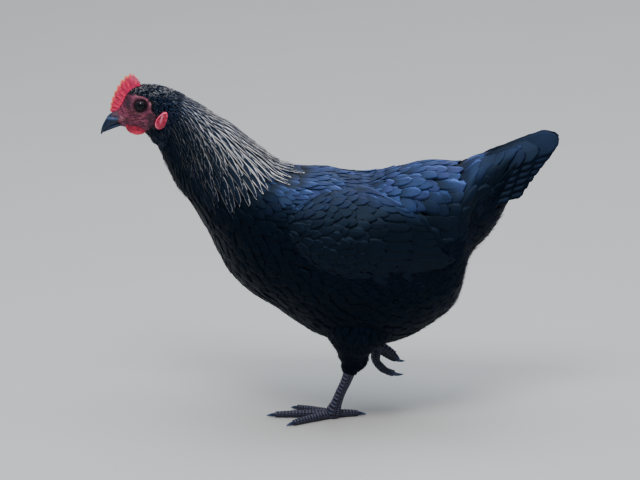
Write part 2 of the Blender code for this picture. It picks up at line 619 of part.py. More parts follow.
def make_tail():
    """The tail: its base, pairs of long feathers and pairs of coverts over their bases."""
    tail = loft("tail", BODY, TORSO_END + TAIL_SPLIT, len(BODY) - 1.0, *TAIL_MESH, "black_plumage",
                BODY_LIFT, BODY_FULL)
    root_first, root_step = np.array(COVERT_ROOT)
    tip_first, tip_step = np.array(COVERT_TIP)
    pieces = []
    for side in (-1, 1):
        for i, (root, tip) in enumerate(zip(TAIL_ROOTS, TAIL_TIPS)):
            pieces.append(tail_vane(side, root, tip, TAIL_RIDGE + TAIL_STEP[0] * i,
                                    TAIL_RIDGE + TAIL_STEP[1] * i, TAIL_HALF, TAIL_THICK, True))
        for j in range(COVERT_PAIRS):
            out_root, out_tip = (start + step * j for start, step in COVERT_OUT)
            pieces.append(tail_vane(side, root_first + root_step * j, tip_first + tip_step * j,
                                    out_root, out_tip, COVERT_HALF, COVERT_THICK, False))
    combine(tail, pieces)
    return tail


def make_head():
    """The head with its lids, eye sockets and the line of the mouth, then beak, eyes and comb."""
    head = loft("head", HEAD, 0.0, len(HEAD) - 1.0, 11, 14, "face_skin", HEAD_LIFT, HEAD_FULL)
    shell = grown(head, GAP)
    lids = [torus("lid", (EYE_AT[0], side * LID_OUT, EYE_AT[1]), LID_RADIUS, LID_THICK, "face_skin")
            for side in (-1, 1)]
    combine(head, lids)
    sockets = [ball("socket", (EYE_AT[0], side * EYE_OUT, EYE_AT[1]), (EYE_RADIUS + GAP,) * 3, "face_skin")
               for side in (-1, 1)]
    lines = [ball("mouth", (MOUTH_MIDDLE[0], side * MOUTH_MIDDLE[1], MOUTH_MIDDLE[2]), MOUTH_CUT,
                  "face_skin", 10, 4) for side in (-1, 1)]
    cut(head, sockets + lines)
    for label, side in (("left", -1), ("right", 1)):
        ball("eye_" + label, (EYE_AT[0], side * EYE_OUT, EYE_AT[1]), (EYE_RADIUS,) * 3, "eye_gloss")
    upper = loft("beak_upper", BEAK_UPPER, 0.0, 5.0, 8, 12, "beak_horn")
    lower = loft("beak_lower", BEAK_LOWER, 0.0, 4.0, 5, 10, "beak_horn")
    comb = make_comb()
    cut(upper, [grown(shell, 0.0)])
    nostrils = [ball("nostril", (NOSTRIL_AT[0], side * NOSTRIL_OUT, NOSTRIL_AT[1]), NOSTRIL_SIZE,
                     "beak_horn", 8, 4) for side in (-1, 1)]
    cut(upper, nostrils)
    cut(lower, [grown(shell, 0.0), grown(upper, GAP)])
    cut(comb, [grown(shell, 0.0), grown(upper, GAP)])
    for label, side in (("left", -1), ("right", 1)):
        place = (WATTLE_AT[0], side * WATTLE_AT[1], WATTLE_AT[2])
        wattle = flap("wattle_" + label, place, WATTLE_SIZE, WATTLE_THICK, WATTLE_TILT, WATTLE_FOLD,
                      "comb_skin")
        cut(wattle, [grown(shell, 0.0), grown(lower, GAP)])
        place = (LOBE_AT[0], side * LOBE_AT[1], LOBE_AT[2])
        lobe = flap("earlobe_" + label, place, LOBE_SIZE, LOBE_THICK, LOBE_TILT, LOBE_FOLD, "comb_skin")
        cut(lobe, [grown(shell, 0.0)])
    bpy.data.objects.remove(shell, do_unlink=True)
    return head


def make_comb():
    """The single comb: a blade with points along its outer edge, thin at the edge."""
    columns = 2 * COMB_POINTS + 1
    along = np.linspace(0, 1, columns)
    root = spline(COMB_ROOT, along * (len(COMB_ROOT) - 1))
    edge = spline(COMB_EDGE, along * (len(COMB_EDGE) - 1))
    notch = np.where(np.arange(columns) % 2 == 0, 1.0 - COMB_NOTCH, 1.0)[:, None]
    tip = root + (edge - root) * notch
    rows = [root, root + (tip - root) * 0.55, tip]
    half = np.linspace(COMB_THICK[0], COMB_THICK[1], len(rows)) / 2
    flat = np.stack([np.stack([row[:, 0], np.zeros(columns), row[:, 1]], -1) for row in rows], 1)
    out = np.array([0.0, 1.0, 0.0]) * half[None, :, None]
    return vane("comb", flat + out, flat - out, "comb_skin")


def make_claw(name, base, ahead, down, droop):
    """A curved claw that starts a gap in front of its toe."""
    rows = []
    for share in (0.0, 0.35, 0.7, 1.0):
        centre = base + ahead * CLAW_LENGTH * share * (1 - 0.12 * share) + down * droop * share ** 2
        radius = CLAW_RADIUS * (1 - share) ** 0.8 + 0.35
        rows.append((*centre, radius, radius * 0.8))
    return skin(name, path_rings(np.array(rows), 5, up=-down), "claw_horn")


def make_toe(points, up):
    """The scaly rings of one toe along its points, with its last point and heading."""
    count = len(points)
    radii = np.linspace(TOE_RADIUS[0], TOE_RADIUS[1], count)
    rows = np.column_stack([points, radii, radii * 0.94])
    length = np.linalg.norm(np.diff(points, axis=0), axis=1).sum()
    rings = scaled_rings(rows, max(2, round(length / TOE_SCUTE)), 7, up)
    ahead = points[-1] - points[-2]
    return rings, points[-1], ahead / np.linalg.norm(ahead)


def make_foot(side, ball_rows, toes, up_of, shank):
    """A foot: the ball and four toes in one node, and four claws of their own."""
    foot = skin("foot_" + side, path_rings(ball_rows, 10), "leg_scale")
    cut(shank, [grown(foot, GAP)])
    pieces = []
    for toe, points in toes.items():
        rings, end, ahead = make_toe(points, up_of(toe))
        pieces.append(skin("toe", rings, "leg_scale"))
        up = np.array(up_of(toe), float)
        down = -(up - ahead * up.dot(ahead))
        down /= np.linalg.norm(down)
        make_claw("claw_" + side + "_" + toe, end + ahead * GAP, ahead, down, CLAW_DROOP[side])
    combine(foot, pieces)
    return foot


def make_left_foot(shank):
    """The standing foot: toes spread flat on the floor."""
    start = BALL_LEFT[-1, :2]
    toes = {}
    for toe, (length, heading) in TOES_LEFT.items():
        turn = math.radians(heading)
        ahead = np.array([-math.cos(turn), -math.sin(turn)])
        share = np.array(TOE_SHARES)
        radii = TOE_RADIUS[0] + (TOE_RADIUS[1] - TOE_RADIUS[0]) * share
        flat = start + ahead * (length * share)[:, None]
        toes[toe] = np.column_stack([flat, radii * TOE_REST + TOE_ARCH * np.sin(share * math.pi)])
    foot = make_foot("left", BALL_LEFT, toes, lambda toe: (0.0, 0.0, 1.0), shank)
    wide, deep = FLOOR_BLOCK
    corners = ((-wide, -wide), (wide, -wide), (wide, wide), (-wide, wide))
    floor = skin("floor", np.array([[(x, y, z) for x, y in corners] for z in (-deep, 0.0)]), "leg_scale")
    cut(foot, [floor])


def lifted_up(toe):
    """The way the scaly side of a hanging toe faces."""
    return (0.3, 0.0, 1.0) if toe == "hind" else (-0.75, 0.0, -0.65)


def make_legs(torso):
    """Feathered thighs, scaly shanks and the two feet."""
    body = grown(torso, GAP)
    for side, rows in (("left", THIGH_LEFT), ("right", THIGH_RIGHT)):
        at = np.linspace(0, len(rows) - 1, 2 * len(rows) - 2)
        thigh = skin("thigh_" + side, path_rings(rows, 14, at), "black_plumage")
        cut(thigh, [grown(body, 0.0)])
        shank_rows = SHANK_LEFT if side == "left" else SHANK_RIGHT
        rings = scaled_rings(shank_rows, SHANK_SCUTES[side], 8, (-1.0, 0.0, 0.0))
        shank = skin("shank_" + side, rings, "leg_scale")
        cut(shank, [grown(thigh, GAP)])
        if side == "left":
            make_left_foot(shank)
        else:
            make_foot("right", BALL_RIGHT, TOES_RIGHT, lifted_up, shank)
    bpy.data.objects.remove(body, do_unlink=True)


def main():
    clear_scene()
    neck, torso = make_core()
    read = side_reader()
    make_head()
    make_hackle(neck)
    make_wing("wing_left", -1, read)
    make_wing("wing_right", 1, read)
    make_tail()
    make_legs(torso)
    for item in bpy.data.objects:
        item.data.shade_smooth()
        item.data.set_sharp_from_angle(angle=math.radians(SHARP_ANGLE))


main()
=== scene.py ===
"""Norfolk Grey hen, life size: the finish of its skin, feathers, comb, beak, eyes and legs.

The hen faces -X, its left side is -Y and +Z is up, as in the frame. Shapes are worked out in
millimetres as arrays and become metres where a mesh is made.
"""
import math

import bpy
import numpy as np
from bpy.props import FloatProperty, FloatVectorProperty, PointerProperty
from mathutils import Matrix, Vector


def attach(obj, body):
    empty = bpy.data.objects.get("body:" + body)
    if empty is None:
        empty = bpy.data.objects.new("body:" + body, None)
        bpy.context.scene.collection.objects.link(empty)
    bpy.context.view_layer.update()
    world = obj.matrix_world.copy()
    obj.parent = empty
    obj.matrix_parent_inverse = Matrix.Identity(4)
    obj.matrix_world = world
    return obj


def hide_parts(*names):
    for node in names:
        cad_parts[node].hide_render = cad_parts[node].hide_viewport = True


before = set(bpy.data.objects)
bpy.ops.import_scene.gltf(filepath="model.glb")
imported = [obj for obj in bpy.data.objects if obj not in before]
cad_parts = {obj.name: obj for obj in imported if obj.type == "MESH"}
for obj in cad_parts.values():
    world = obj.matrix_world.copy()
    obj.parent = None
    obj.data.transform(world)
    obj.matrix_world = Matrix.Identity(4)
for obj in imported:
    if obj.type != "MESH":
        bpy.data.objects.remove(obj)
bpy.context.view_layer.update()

bl_info = {
    "name": "Norfolk Grey hen",
    "version": (1, 0, 0),
    "blender": (4, 5, 0),
    "location": "3D View > Sidebar > Hen",
    "description": "Builds the feathers, skin, head and legs of a life-size Norfolk Grey hen",
    "category": "Add Mesh",
}

MM = 0.001
SEED = 7
LEFT, RIGHT = -1, 1
SIDES = ((LEFT, "left"), (RIGHT, "right"))
TURN = 2 * math.pi             # one full turn
PATCH = 0.003                  # side of one feather's patch on the OFBake map

# Stations of the hen's coat from the face to the tail base: the back point (x, z), the belly
# point (x, z) and the half width. The first ten are the head's.
STATIONS = np.array([
    (-221.5, 333.5, -221.0, 318.5, 6.2),
    (-216.5, 341.0, -218.0, 316.5, 9.2),
    (-211.5, 351.0, -213.5, 315.5, 12.2),
    (-205.0, 357.5, -208.0, 315.0, 14.6),
    (-198.5, 360.0, -202.0, 314.5, 15.8),
    (-191.0, 360.6, -197.0, 313.0, 16.6),
    (-184.0, 360.3, -192.5, 309.5, 17.4),
    (-177.5, 359.3, -188.0, 304.5, 18.4),
    (-170.0, 357.3, -184.5, 299.0, 19.6),
    (-161.0, 353.6, -179.5, 295.3, 21.5),
    (-149.0, 347.5, -176.0, 287.5, 25.0),
    (-134.0, 338.5, -172.0, 276.0, 28.5),
    (-117.0, 327.0, -166.0, 264.0, 33.0),
    (-101.5, 317.5, -160.0, 252.0, 39.0),
    (-86.0, 303.5, -154.0, 244.0, 46.0),
    (-69.0, 289.5, -147.0, 236.0, 54.0),
    (-53.0, 276.5, -137.0, 220.5, 61.5),
    (-37.0, 270.5, -127.0, 203.5, 67.0),
    (-20.0, 268.5, -117.0, 182.0, 71.0),
    (0.0, 268.3, -104.0, 159.5, 74.0),
    (20.0, 264.5, -84.0, 139.5, 76.0),
    (43.0, 261.8, -58.0, 123.0, 77.5),
    (62.0, 267.2, -33.0, 105.0, 77.5),
    (80.0, 271.6, -5.0, 90.0, 76.0),
    (99.0, 276.8, 40.0, 81.0, 72.0),
    (118.0, 277.4, 77.0, 88.0, 66.5),
    (135.0, 276.6, 110.0, 107.5, 60.0),
    (147.0, 283.0, 131.0, 128.0, 53.0),
    (158.0, 287.0, 144.0, 174.0, 40.0),
    (170.0, 290.0, 162.0, 196.0, 31.0),
    (180.0, 294.0, 175.5, 215.5, 24.5),
    (192.0, 298.0, 187.0, 238.5, 18.5),
    (206.0, 300.0, 200.0, 262.0, 12.0),
])
LIFT = ((0.0, 8.0, 11.0), (0.14, 0.14, 0.06))      # station, how high the widest place lies
FULL = ((0.0, 8.0, 11.0), (0.10, 0.10, 0.12))      # station, how much fuller than an ellipse
# Station, depth of the coat over the skin.
COAT = ((0.0, 7.0, 9.5, 12.0, 17.0, 24.0, 30.0, 32.0), (0.0, 0.7, 2.6, 4.6, 5.4, 6.0, 4.5, 2.5))
NECK = 9.0                     # station where the neck starts
RUMP = 29.0                    # station where the tail starts
LAST = len(STATIONS) - 1.0     # station where the coat ends

EYE_AT = np.array([-196.9, 341.7])
EYE_OUT = 11.2                 # eye centre from the middle plane
EYE_RADIUS = 6.4
LID_OPEN = (5.5, 5.0)          # half width and half height of the open eye
LID_REACH = 10.0               # where the lids run out on the face
FACE_AT = np.array([-202.5, 332.0])
FACE_RADIUS = (22.0, 21.0)     # the bare red face
EAR_AT = np.array([-179.3, 340.5])
EAR_RADIUS = (7.5, 8.0)        # the dark tuft over the ear

# Beak stations: ridge point, lower edge point, half width.
BEAK_UPPER = np.array([
    (-216.0, 334.6, -208.5, 323.8, 7.8),
    (-219.5, 334.4, -212.5, 322.4, 7.5),
    (-224.5, 332.2, -216.5, 320.6, 6.8),
    (-230.6, 328.0, -223.0, 318.0, 5.4),
    (-234.7, 321.7, -229.3, 315.2, 3.8),
    (-237.8, 314.8, -234.6, 311.6, 2.2),
    (-239.0, 308.0, -238.0, 307.2, 0.5),
])
BEAK_LOWER = np.array([
    (-207.5, 323.0, -207.0, 318.0, 7.0),
    (-216.7, 320.2, -216.5, 317.2, 5.8),
    (-223.2, 318.0, -223.0, 314.9, 4.5),
    (-229.7, 315.4, -229.4, 312.2, 2.9),
    (-236.2, 311.6, -236.0, 309.4, 0.8),
])
NOSTRIL_AT = (-224.6, 327.2)
MOUTH_END = np.array([-209.0, 323.4])

# Comb: its root line on the head and its outer edge, front to back.
COMB_ROOT = np.array([(-221.0, 329.5), (-214.5, 339.0), (-209.5, 347.5), (-203.5, 353.5), (-196.0, 357.5)])
COMB_EDGE = np.array([(-229.6, 332.0), (-227.6, 345.0), (-222.2, 358.2), (-214.0, 369.6), (-205.3, 373.6),
                      (-198.3, 365.8)])
COMB_POINTS = 10

WATTLE_AT = (-201.8, 6.8, 316.2)
WATTLE_SIZE = (11.0, 7.5)
LOBE_AT = (-174.8, 20.2, 327.5)
LOBE_SIZE = (5.4, 10.2)
LOBE_TILT = 27.0

# The folded wing as a net of points (x, z, stand off the flank): rows from the shoulder to the
# feather tips, each from the upper edge to the lower one.
WING_NET = np.array([
    [(-48, 243, -1.5), (-50, 235, -1), (-50, 226, -1), (-47, 217, -1), (-42, 209, -1.5)],
    [(-18, 256, 0), (-20, 241, 3.8), (-21, 222, 4.6), (-21, 203, 3.6), (-19, 185, -0.8)],
    [(16, 258.5, 0.6), (22, 243, 5.4), (24, 222, 6.8), (19, 198, 5.2), (10, 173, -0.6)],
    [(46, 257, 1.6), (60, 242, 5.4), (68, 220, 6.6), (62, 195, 5.2), (46, 172, 0.2)],
    [(72, 249, 1.8), (98, 229, 3.4), (119, 206, 3.8), (125, 183, 3.2), (96, 174, 1.2)],
])

# Tail: the roots and tips of its seven pairs of feathers in the side view, top to bottom.
TAIL_ROOTS = np.array([(170.0, z) for z in (281.5, 279.0, 274.0, 268.5, 262.5, 256.0, 249.0)])
TAIL_TIPS = np.array([(236.2, 303.8), (231.4, 296.6), (225.3, 289.5), (219.1, 282.4), (212.9, 275.2),
                      (206.8, 268.1), (200.6, 261.0)])
TAIL_LEAN = 28.0               # degrees that a vane leans outward
TAIL_RIDGE = 6.6               # how far the top pair stands from the middle plane
TAIL_STEP = (1.3, 1.7)         # how much further out each pair stands, at root and tip
TAIL_COVERTS = 6               # coverts in a tier on each side

# Legs: path points (x, y, z), the radius fore and aft and the radius sideways.
THIGHS = {
    "left": np.array([(30.0, -28.0, 130.0, 46.0, 18.0), (29.0, -29.0, 110.0, 43.0, 27.0),
                      (26.0, -26.0, 93.0, 30.0, 23.0), (24.6, -22.0, 80.0, 18.5, 17.5),
                      (24.6, -19.5, 68.0, 15.3, 13.0), (21.6, -18.1, 58.5, 9.8, 9.6),
                      (20.6, -17.8, 53.5, 7.6, 7.6)]),
    "right": np.array([(42.0, 35.0, 130.0, 36.0, 16.0), (44.0, 38.0, 109.0, 31.0, 21.0),
                       (46.0, 39.5, 92.0, 19.0, 16.5), (48.0, 39.0, 80.0, 8.6, 8.6)]),
}
SHANKS = {
    "left": np.array([(21.0, -18.1, 55.0, 6.4, 6.0), (16.5, -15.3, 42.0, 5.6, 5.0),
                      (11.0, -11.8, 29.0, 5.4, 4.8), (6.8, -8.7, 16.5, 6.0, 5.6),
                      (4.2, -7.0, 8.5, 7.8, 7.4), (2.8, -6.2, 2.0, 6.2, 6.4)]),
    "right": np.array([(47.4, 39.2, 84.5, 6.2, 5.8), (49.2, 38.6, 76.5, 5.7, 5.2),
                       (50.4, 38.2, 69.5, 6.6, 6.2), (50.6, 38.1, 64.0, 7.2, 7.0),
                       (50.4, 38.0, 59.5, 4.8, 4.8)]),
}
LEG_FRONT = (-1.0, 0.0, 0.3)   # the way the front of a leg faces
TOE_RADIUS = (4.9, 3.3)        # at the foot and at the claw
# The standing foot's toes: length and heading in degrees from straight ahead.
TOES_FLAT = {"inner": (45.0, -36.0), "middle": (60.0, -2.0), "outer": (49.0, 34.0), "hind": (27.0, 195.0)}
# The lifted foot's toes: path points (x, y, z).
TOES_HUNG = {
    "middle": np.array([(48.6, 38.0, 62.0), (47.8, 38.0, 51.8), (52.8, 37.5, 43.6), (60.4, 37.0, 38.2),
                        (67.4, 36.5, 35.6)]),
    "outer": np.array([(50.6, 40.0, 64.0), (55.5, 44.5, 58.0), (62.5, 46.8, 52.2), (69.4, 48.0, 48.0)]),
    "inner": np.array([(49.5, 35.5, 62.0), (48.5, 31.0, 53.0), (54.0, 28.0, 44.5), (62.0, 26.5, 40.5)]),
    "hind": np.array([(53.0, 37.0, 66.0), (60.0, 35.5, 63.0), (68.0, 34.5, 57.5)]),
}
CLAW_LENGTH = 11.5
CLAW_RADIUS = 2.3
CLAW_DROOP = {"left": 0.8, "right": 3.4}       # how far a claw's tip bends down


class HenSizes(bpy.types.PropertyGroup):
    """Sizes of the hen's feathers and scales."""

    hackle_length: FloatProperty(name="Hackle length", description="Length of the longest neck feathers",
                                 default=0.043, min=0.02, max=0.08, unit="LENGTH")
    hackle_width: FloatProperty(name="Hackle width", description="Half width of the longest neck feathers",
                                default=0.0046, min=0.001, max=0.01, unit="LENGTH")
    body_length: FloatProperty(name="Body feather length", description="Length of a feather of the breast",
                               default=0.021, min=0.01, max=0.05, unit="LENGTH")
    body_width: FloatProperty(name="Body feather width", description="Half width of a feather of the breast",
                              default=0.0066, min=0.002, max=0.02, unit="LENGTH")
    tail_width: FloatProperty(name="Tail feather width", description="Half width of a long tail feather",
                              default=0.014, min=0.005, max=0.03, unit="LENGTH")
    scute_length: FloatProperty(name="Scute length", description="Length of one plate on the shank",
                                default=0.0044, min=0.002, max=0.01, unit="LENGTH")


class HenColours(bpy.types.PropertyGroup):
    """Colours of the hen's feathers, skin and horn."""

    feather: FloatVectorProperty(name="Feather", description="Body colour of the plumage", subtype="COLOR",
                                 size=3, min=0.0, max=1.0, default=(0.0007, 0.0022, 0.0045))
    # The sheen is the colour of a painted sky reflection, put in the base colour of the parts that face up.
    sheen: FloatVectorProperty(name="Sheen", description="Blue gloss of the back, wings and tail",
                               subtype="COLOR", size=3, min=0.0, max=1.0, default=(0.028, 0.054, 0.165))
    silver: FloatVectorProperty(name="Silver", description="Pale edge of the neck feathers", subtype="COLOR",
                                size=3, min=0.0, max=1.0, default=(0.97, 0.93, 0.92))
    face: FloatVectorProperty(name="Face", description="Bare skin of the face", subtype="COLOR",
                              size=3, min=0.0, max=1.0, default=(0.125, 0.019, 0.040))
    comb: FloatVectorProperty(name="Comb", description="Comb and wattles", subtype="COLOR",
                              size=3, min=0.0, max=1.0, default=(0.82, 0.022, 0.095))
    horn: FloatVectorProperty(name="Horn", description="Beak and claws", subtype="COLOR",
                              size=3, min=0.0, max=1.0, default=(0.004, 0.010, 0.028))
    leg: FloatVectorProperty(name="Leg", description="Scales of the legs", subtype="COLOR",
                             size=3, min=0.0, max=1.0, default=(0.0065, 0.011, 0.019))
    floor: FloatVectorProperty(name="Floor", description="Studio floor", subtype="COLOR",
                               size=3, min=0.0, max=1.0, default=(0.50, 0.49, 0.475))


# Numbers and curves

def circle(count):
    """Turns evenly round a circle."""
    return np.linspace(0, TURN, count, endpoint=False)


def lattice(rows, columns):
    """The row's number and the column's number at each place of a grid."""
    return np.meshgrid(rows, columns, indexing="ij")


def bell(value, centre, width):
    """1 at the centre, falling to both sides as a Gauss curve of that width."""
    return np.exp(-((value - centre) / width) ** 2)


def way_along(points):
    """How far along a line of points each of them lies."""
    return np.append(0, np.cumsum(np.linalg.norm(np.diff(points, axis=0), axis=1)))


def smooth(value, low, high):
    """0 below low, 1 above high, and an S-shaped step between them."""
    share = np.clip((np.asarray(value, float) - low) / (high - low), 0.0, 1.0)
    return share * share * (3.0 - 2.0 * share)


def spline(rows, at):
    """Points on a smooth curve through rows, at fractional row numbers (Catmull-Rom)."""
    rows = np.asarray(rows, float)
    at = np.clip(np.asarray(at, float), 0.0, len(rows) - 1.0)
    first = np.minimum(at.astype(int), len(rows) - 2)
    part = (at - first).reshape(at.shape + (1,) * (rows.ndim - 1))
    padded = np.concatenate([2 * rows[:1] - rows[1:2], rows, 2 * rows[-1:] - rows[-2:-1]])
    a, b, c, d = (padded[first + k] for k in range(4))
    return 0.5 * (2 * b + (c - a) * part + (2 * a - 5 * b + 4 * c - d) * part ** 2
                  + (3 * b - a - 3 * c + d) * part ** 3)


def unit(vectors):
    """The vectors with length one."""
    return vectors / np.maximum(np.linalg.norm(vectors, axis=-1, keepdims=True), 1e-9)


def ripple(points, length, seed):
    """A smooth random field between about -1 and 1: a sum of six waves in random directions."""
    draw = np.random.default_rng(seed)
    total = np.zeros(np.shape(points)[:-1])
    for _ in range(6):
        way = unit(draw.normal(size=3))
        total = total + np.sin(points @ way * (TURN / (length * draw.uniform(0.7, 1.5)))
                               + draw.uniform(0, TURN))
    return total / 2.6


def loft_point(rows, at, turn, lift, full):
    """A point of a lofted skin: between the back and belly points of its station go the cosine of
    the turn and a lift, and across it the half width times its sine, a little fuller than round."""
    row = spline(rows, at)
    zero = np.zeros_like(row[..., 0])
    back = np.stack([row[..., 0], zero, row[..., 1]], -1)
    belly = np.stack([row[..., 2], zero, row[..., 3]], -1)
    along = np.cos(turn) + lift * np.sin(turn) ** 2
    across = np.sin(turn) * (1 + full * np.cos(turn) ** 2)
    side = np.stack([zero, -row[..., 4] * across, zero], -1)
    return (back + belly) / 2 + (back - belly) / 2 * along[..., None] + side


def hen_point(at, turn):
    """A point of the coat's outer surface; turn goes from the back (0) round by the left side."""
    at, turn = np.broadcast_arrays(np.asarray(at, float), np.asarray(turn, float))
    return loft_point(STATIONS, at, turn, np.interp(at, *LIFT), np.interp(at, *FULL))


def tube_point(rows, at, turn, up, raised=0.0):
    """A point of a tube: from the path's centre, radius times cosine of the turn towards up and
    the other radius times its sine sideways, both with raised added."""
    at, turn = np.broadcast_arrays(np.asarray(at, float), np.asarray(turn, float))
    here = spline(rows, at)
    reach = len(rows) - 1.0
    after, before = spline(rows, np.minimum(at + 0.05, reach)), spline(rows, np.maximum(at - 0.05, 0.0))
    ahead = unit(after[..., :3] - before[..., :3])
    side = unit(np.cross(ahead, np.array(up, float)))
    rise = np.cross(side, ahead)
    return (here[..., :3] + rise * ((here[..., 3] + raised) * np.cos(turn))[..., None]
            + side * ((here[..., 4] + raised) * np.sin(turn))[..., None])


class Sheet:
    """A smooth surface through a grid of points, read at any place (a, b) by bicubic curves."""

    def __init__(self, points, a_range, b_range, closed=False, away=None):
        self.points = np.asarray(points, float)
        self.a_range, self.b_range, self.closed = a_range, b_range, closed
        self.sign = 1.0
        rows, columns = self.points.shape[:2]
        a = np.linspace(*a_range, rows)[1:-1, None] + np.zeros((1, columns - 2))
        b = np.linspace(*b_range, columns)[None, 1:-1] + np.zeros((rows - 2, 1))
        centre = self.points.mean((0, 1)) if away is None else np.asarray(away, float)
        place, normal = self.read(a, b)[:2]
        self.sign = 1.0 if ((place - centre) * normal).sum() > 0 else -1.0

    def read(self, a, b):
        """Places, outward normals and the two tangents at (a, b)."""
        a, b = np.broadcast_arrays(np.asarray(a, float), np.asarray(b, float))
        rows, columns = self.points.shape[:2]
        span_a = (rows - 1) / (self.a_range[1] - self.a_range[0])
        steps_b = columns if self.closed else columns - 1
        span_b = steps_b / (self.b_range[1] - self.b_range[0])
        at_a = np.clip((a - self.a_range[0]) * span_a, 0, rows - 1.0)
        at_b = (b - self.b_range[0]) * span_b
        if not self.closed:
            at_b = np.clip(at_b, 0, columns - 1.0)
        first_a = np.clip(np.floor(at_a).astype(int), 0, rows - 2)
        first_b = np.floor(at_b).astype(int)
        if not self.closed:
            first_b = np.clip(first_b, 0, columns - 2)
        wa, da = _weights(at_a - first_a)
        wb, db = _weights(at_b - first_b)
        place, along, across = (np.zeros(a.shape + (3,)) for _ in range(3))
        for i in range(4):
            row = np.clip(first_a + i - 1, 0, rows - 1)
            line, line_across = (np.zeros(a.shape + (3,)) for _ in range(2))
            for j in range(4):
                column = first_b + j - 1
                column = column % columns if self.closed else np.clip(column, 0, columns - 1)
                corner = self.points[row, column]
                line += corner * wb[j][..., None]
                line_across += corner * db[j][..., None]
            place += line * wa[i][..., None]
            along += line * da[i][..., None]
            across += line_across * wa[i][..., None]
        along, across = along * span_a, across * span_b
        return place, unit(np.cross(across, along)) * self.sign, along, across


def _weights(part):
    """The four Catmull-Rom weights at a share between two points, and their slopes."""
    two, three = part ** 2, part ** 3
    weights = (0.5 * (2 * two - part - three), 0.5 * (2 - 5 * two + 3 * three),
               0.5 * (part + 4 * two - 3 * three), 0.5 * (three - two))
    slopes = (0.5 * (4 * part - 1 - 3 * two), 0.5 * (9 * two - 10 * part),
              0.5 * (1 + 8 * part - 9 * two), 0.5 * (3 * two - 2 * part))
    return weights, slopes


def hen_sheet():
    """The coat's outer surface as a sheet over station and turn."""
    at = np.linspace(0, LAST, 257)[:, None]
    turn = circle(128)[None, :]
    return Sheet(hen_point(at, turn), (0.0, LAST), (0.0, TURN), closed=True)


def side_place(x, z):
    """Station and turn of the left flank's point at (x, z): the nearest point of a coarse grid,
    then six Newton steps on the side view of the loft."""
    x, z = np.asarray(x, float), np.asarray(z, float)
    at_grid, turn_grid = lattice(np.linspace(0.3, 31.5, 90), np.linspace(0.12, 3.0, 40))
    seeds = hen_point(at_grid, turn_grid).reshape(-1, 3)
    far = (seeds[None, :, 0] - x.reshape(-1, 1)) ** 2 + (seeds[None, :, 2] - z.reshape(-1, 1)) ** 2
    best = far.argmin(1)
    at, turn = at_grid.ravel()[best].reshape(x.shape), turn_grid.ravel()[best].reshape(x.shape)
    step = 1e-3
    for _ in range(6):
        here = hen_point(at, turn)
        by_at = (hen_point(at + step, turn) - here) / step
        by_turn = (hen_point(at, turn + step) - here) / step
        off_x, off_z = x - here[..., 0], z - here[..., 2]
        area = by_at[..., 0] * by_turn[..., 2] - by_at[..., 2] * by_turn[..., 0]
        area = np.where(np.abs(area) < 1e-3, 1e-3, area)
        step_at = (off_x * by_turn[..., 2] - off_z * by_turn[..., 0]) / area
        step_turn = (off_z * by_at[..., 0] - off_x * by_at[..., 2]) / area
        at = np.clip(at + np.clip(step_at, -0.5, 0.5), 0, LAST)
        turn = np.clip(turn + np.clip(step_turn, -0.2, 0.2), 0.02, 3.12)
    return at, turn


def wing_sheet(side):
    """The folded wing: its net of side-view points read as a smooth sheet and stood off the flank."""
    p, q = lattice(np.linspace(0, 4, 49), np.linspace(0, 4, 41))
    rows = spline(WING_NET, p[:, 0])
    net = np.stack([spline(row, q[0]) for row in rows])
    at, turn = side_place(net[..., 0], net[..., 1])
    body = hen_sheet()
    place, normal = body.read(at, turn)[:2]
    points = place + normal * net[..., 2:3]
    points[..., 1] *= -side
    return Sheet(points, (0.0, 4.0), (0.0, 4.0), away=(30.0, 0.0, 200.0))


# Meshes

def grid_faces(rows, columns, closed):
    """Quads between neighbouring points of a grid, round it when it is closed."""
    i = np.arange(rows - 1)[:, None]
    j = np.arange(columns if closed else columns - 1)[None, :]
    k = (j + 1) % columns
    here, below = i * columns, (i + 1) * columns
    return np.stack([here + j, here + k, below + k, below + j], -1).reshape(-1, 4)


def tube_faces(rows, columns):
    """Quads and triangles of a closed tube whose two poles come after the points of its rings."""
    ring = np.arange(columns)
    after = (ring + 1) % columns
    pole, last = rows * columns, (rows - 1) * columns
    fans = np.vstack([np.stack([after, ring, np.full(columns, pole)], -1),
                      np.stack([last + ring, last + after, np.full(columns, pole + 1)], -1)])
    return grid_faces(rows, columns, True), fans


def tube_shell(grid):
    """Points, quads and triangles of a closed tube through rings, each end run to its middle."""
    points = np.vstack([grid.reshape(-1, 3), grid[0].mean(0), grid[-1].mean(0)])
    return points, *tube_faces(*grid.shape[:2])


def ring_shell(loop):
    """Points and faces of a closed ring: the grid goes round in both directions."""
    rows, columns = loop.shape[:2]
    i, j = lattice(np.arange(rows), np.arange(columns))
    here, below, after = i * columns, (i + 1) % rows * columns, (j + 1) % columns
    quads = np.stack([here + j, here + after, below + after, below + j], -1)
    return loop.reshape(-1, 3), quads.reshape(-1, 4), np.zeros((0, 3), int)


def outward(points, quads, fans):
    """The faces turned so that the shell's volume is positive."""
    centred = points - points.mean(0)
    a, b, c, d = (centred[quads[:, k]] for k in range(4))
    size = np.einsum("ij,ij->", a, np.cross(b, c)) + np.einsum("ij,ij->", a, np.cross(c, d))
    e, f, g = (centred[fans[:, k]] for k in range(3))
    size += np.einsum("ij,ij->", e, np.cross(f, g))
    return (quads, fans) if size > 0 else (quads[:, ::-1], fans[:, ::-1])


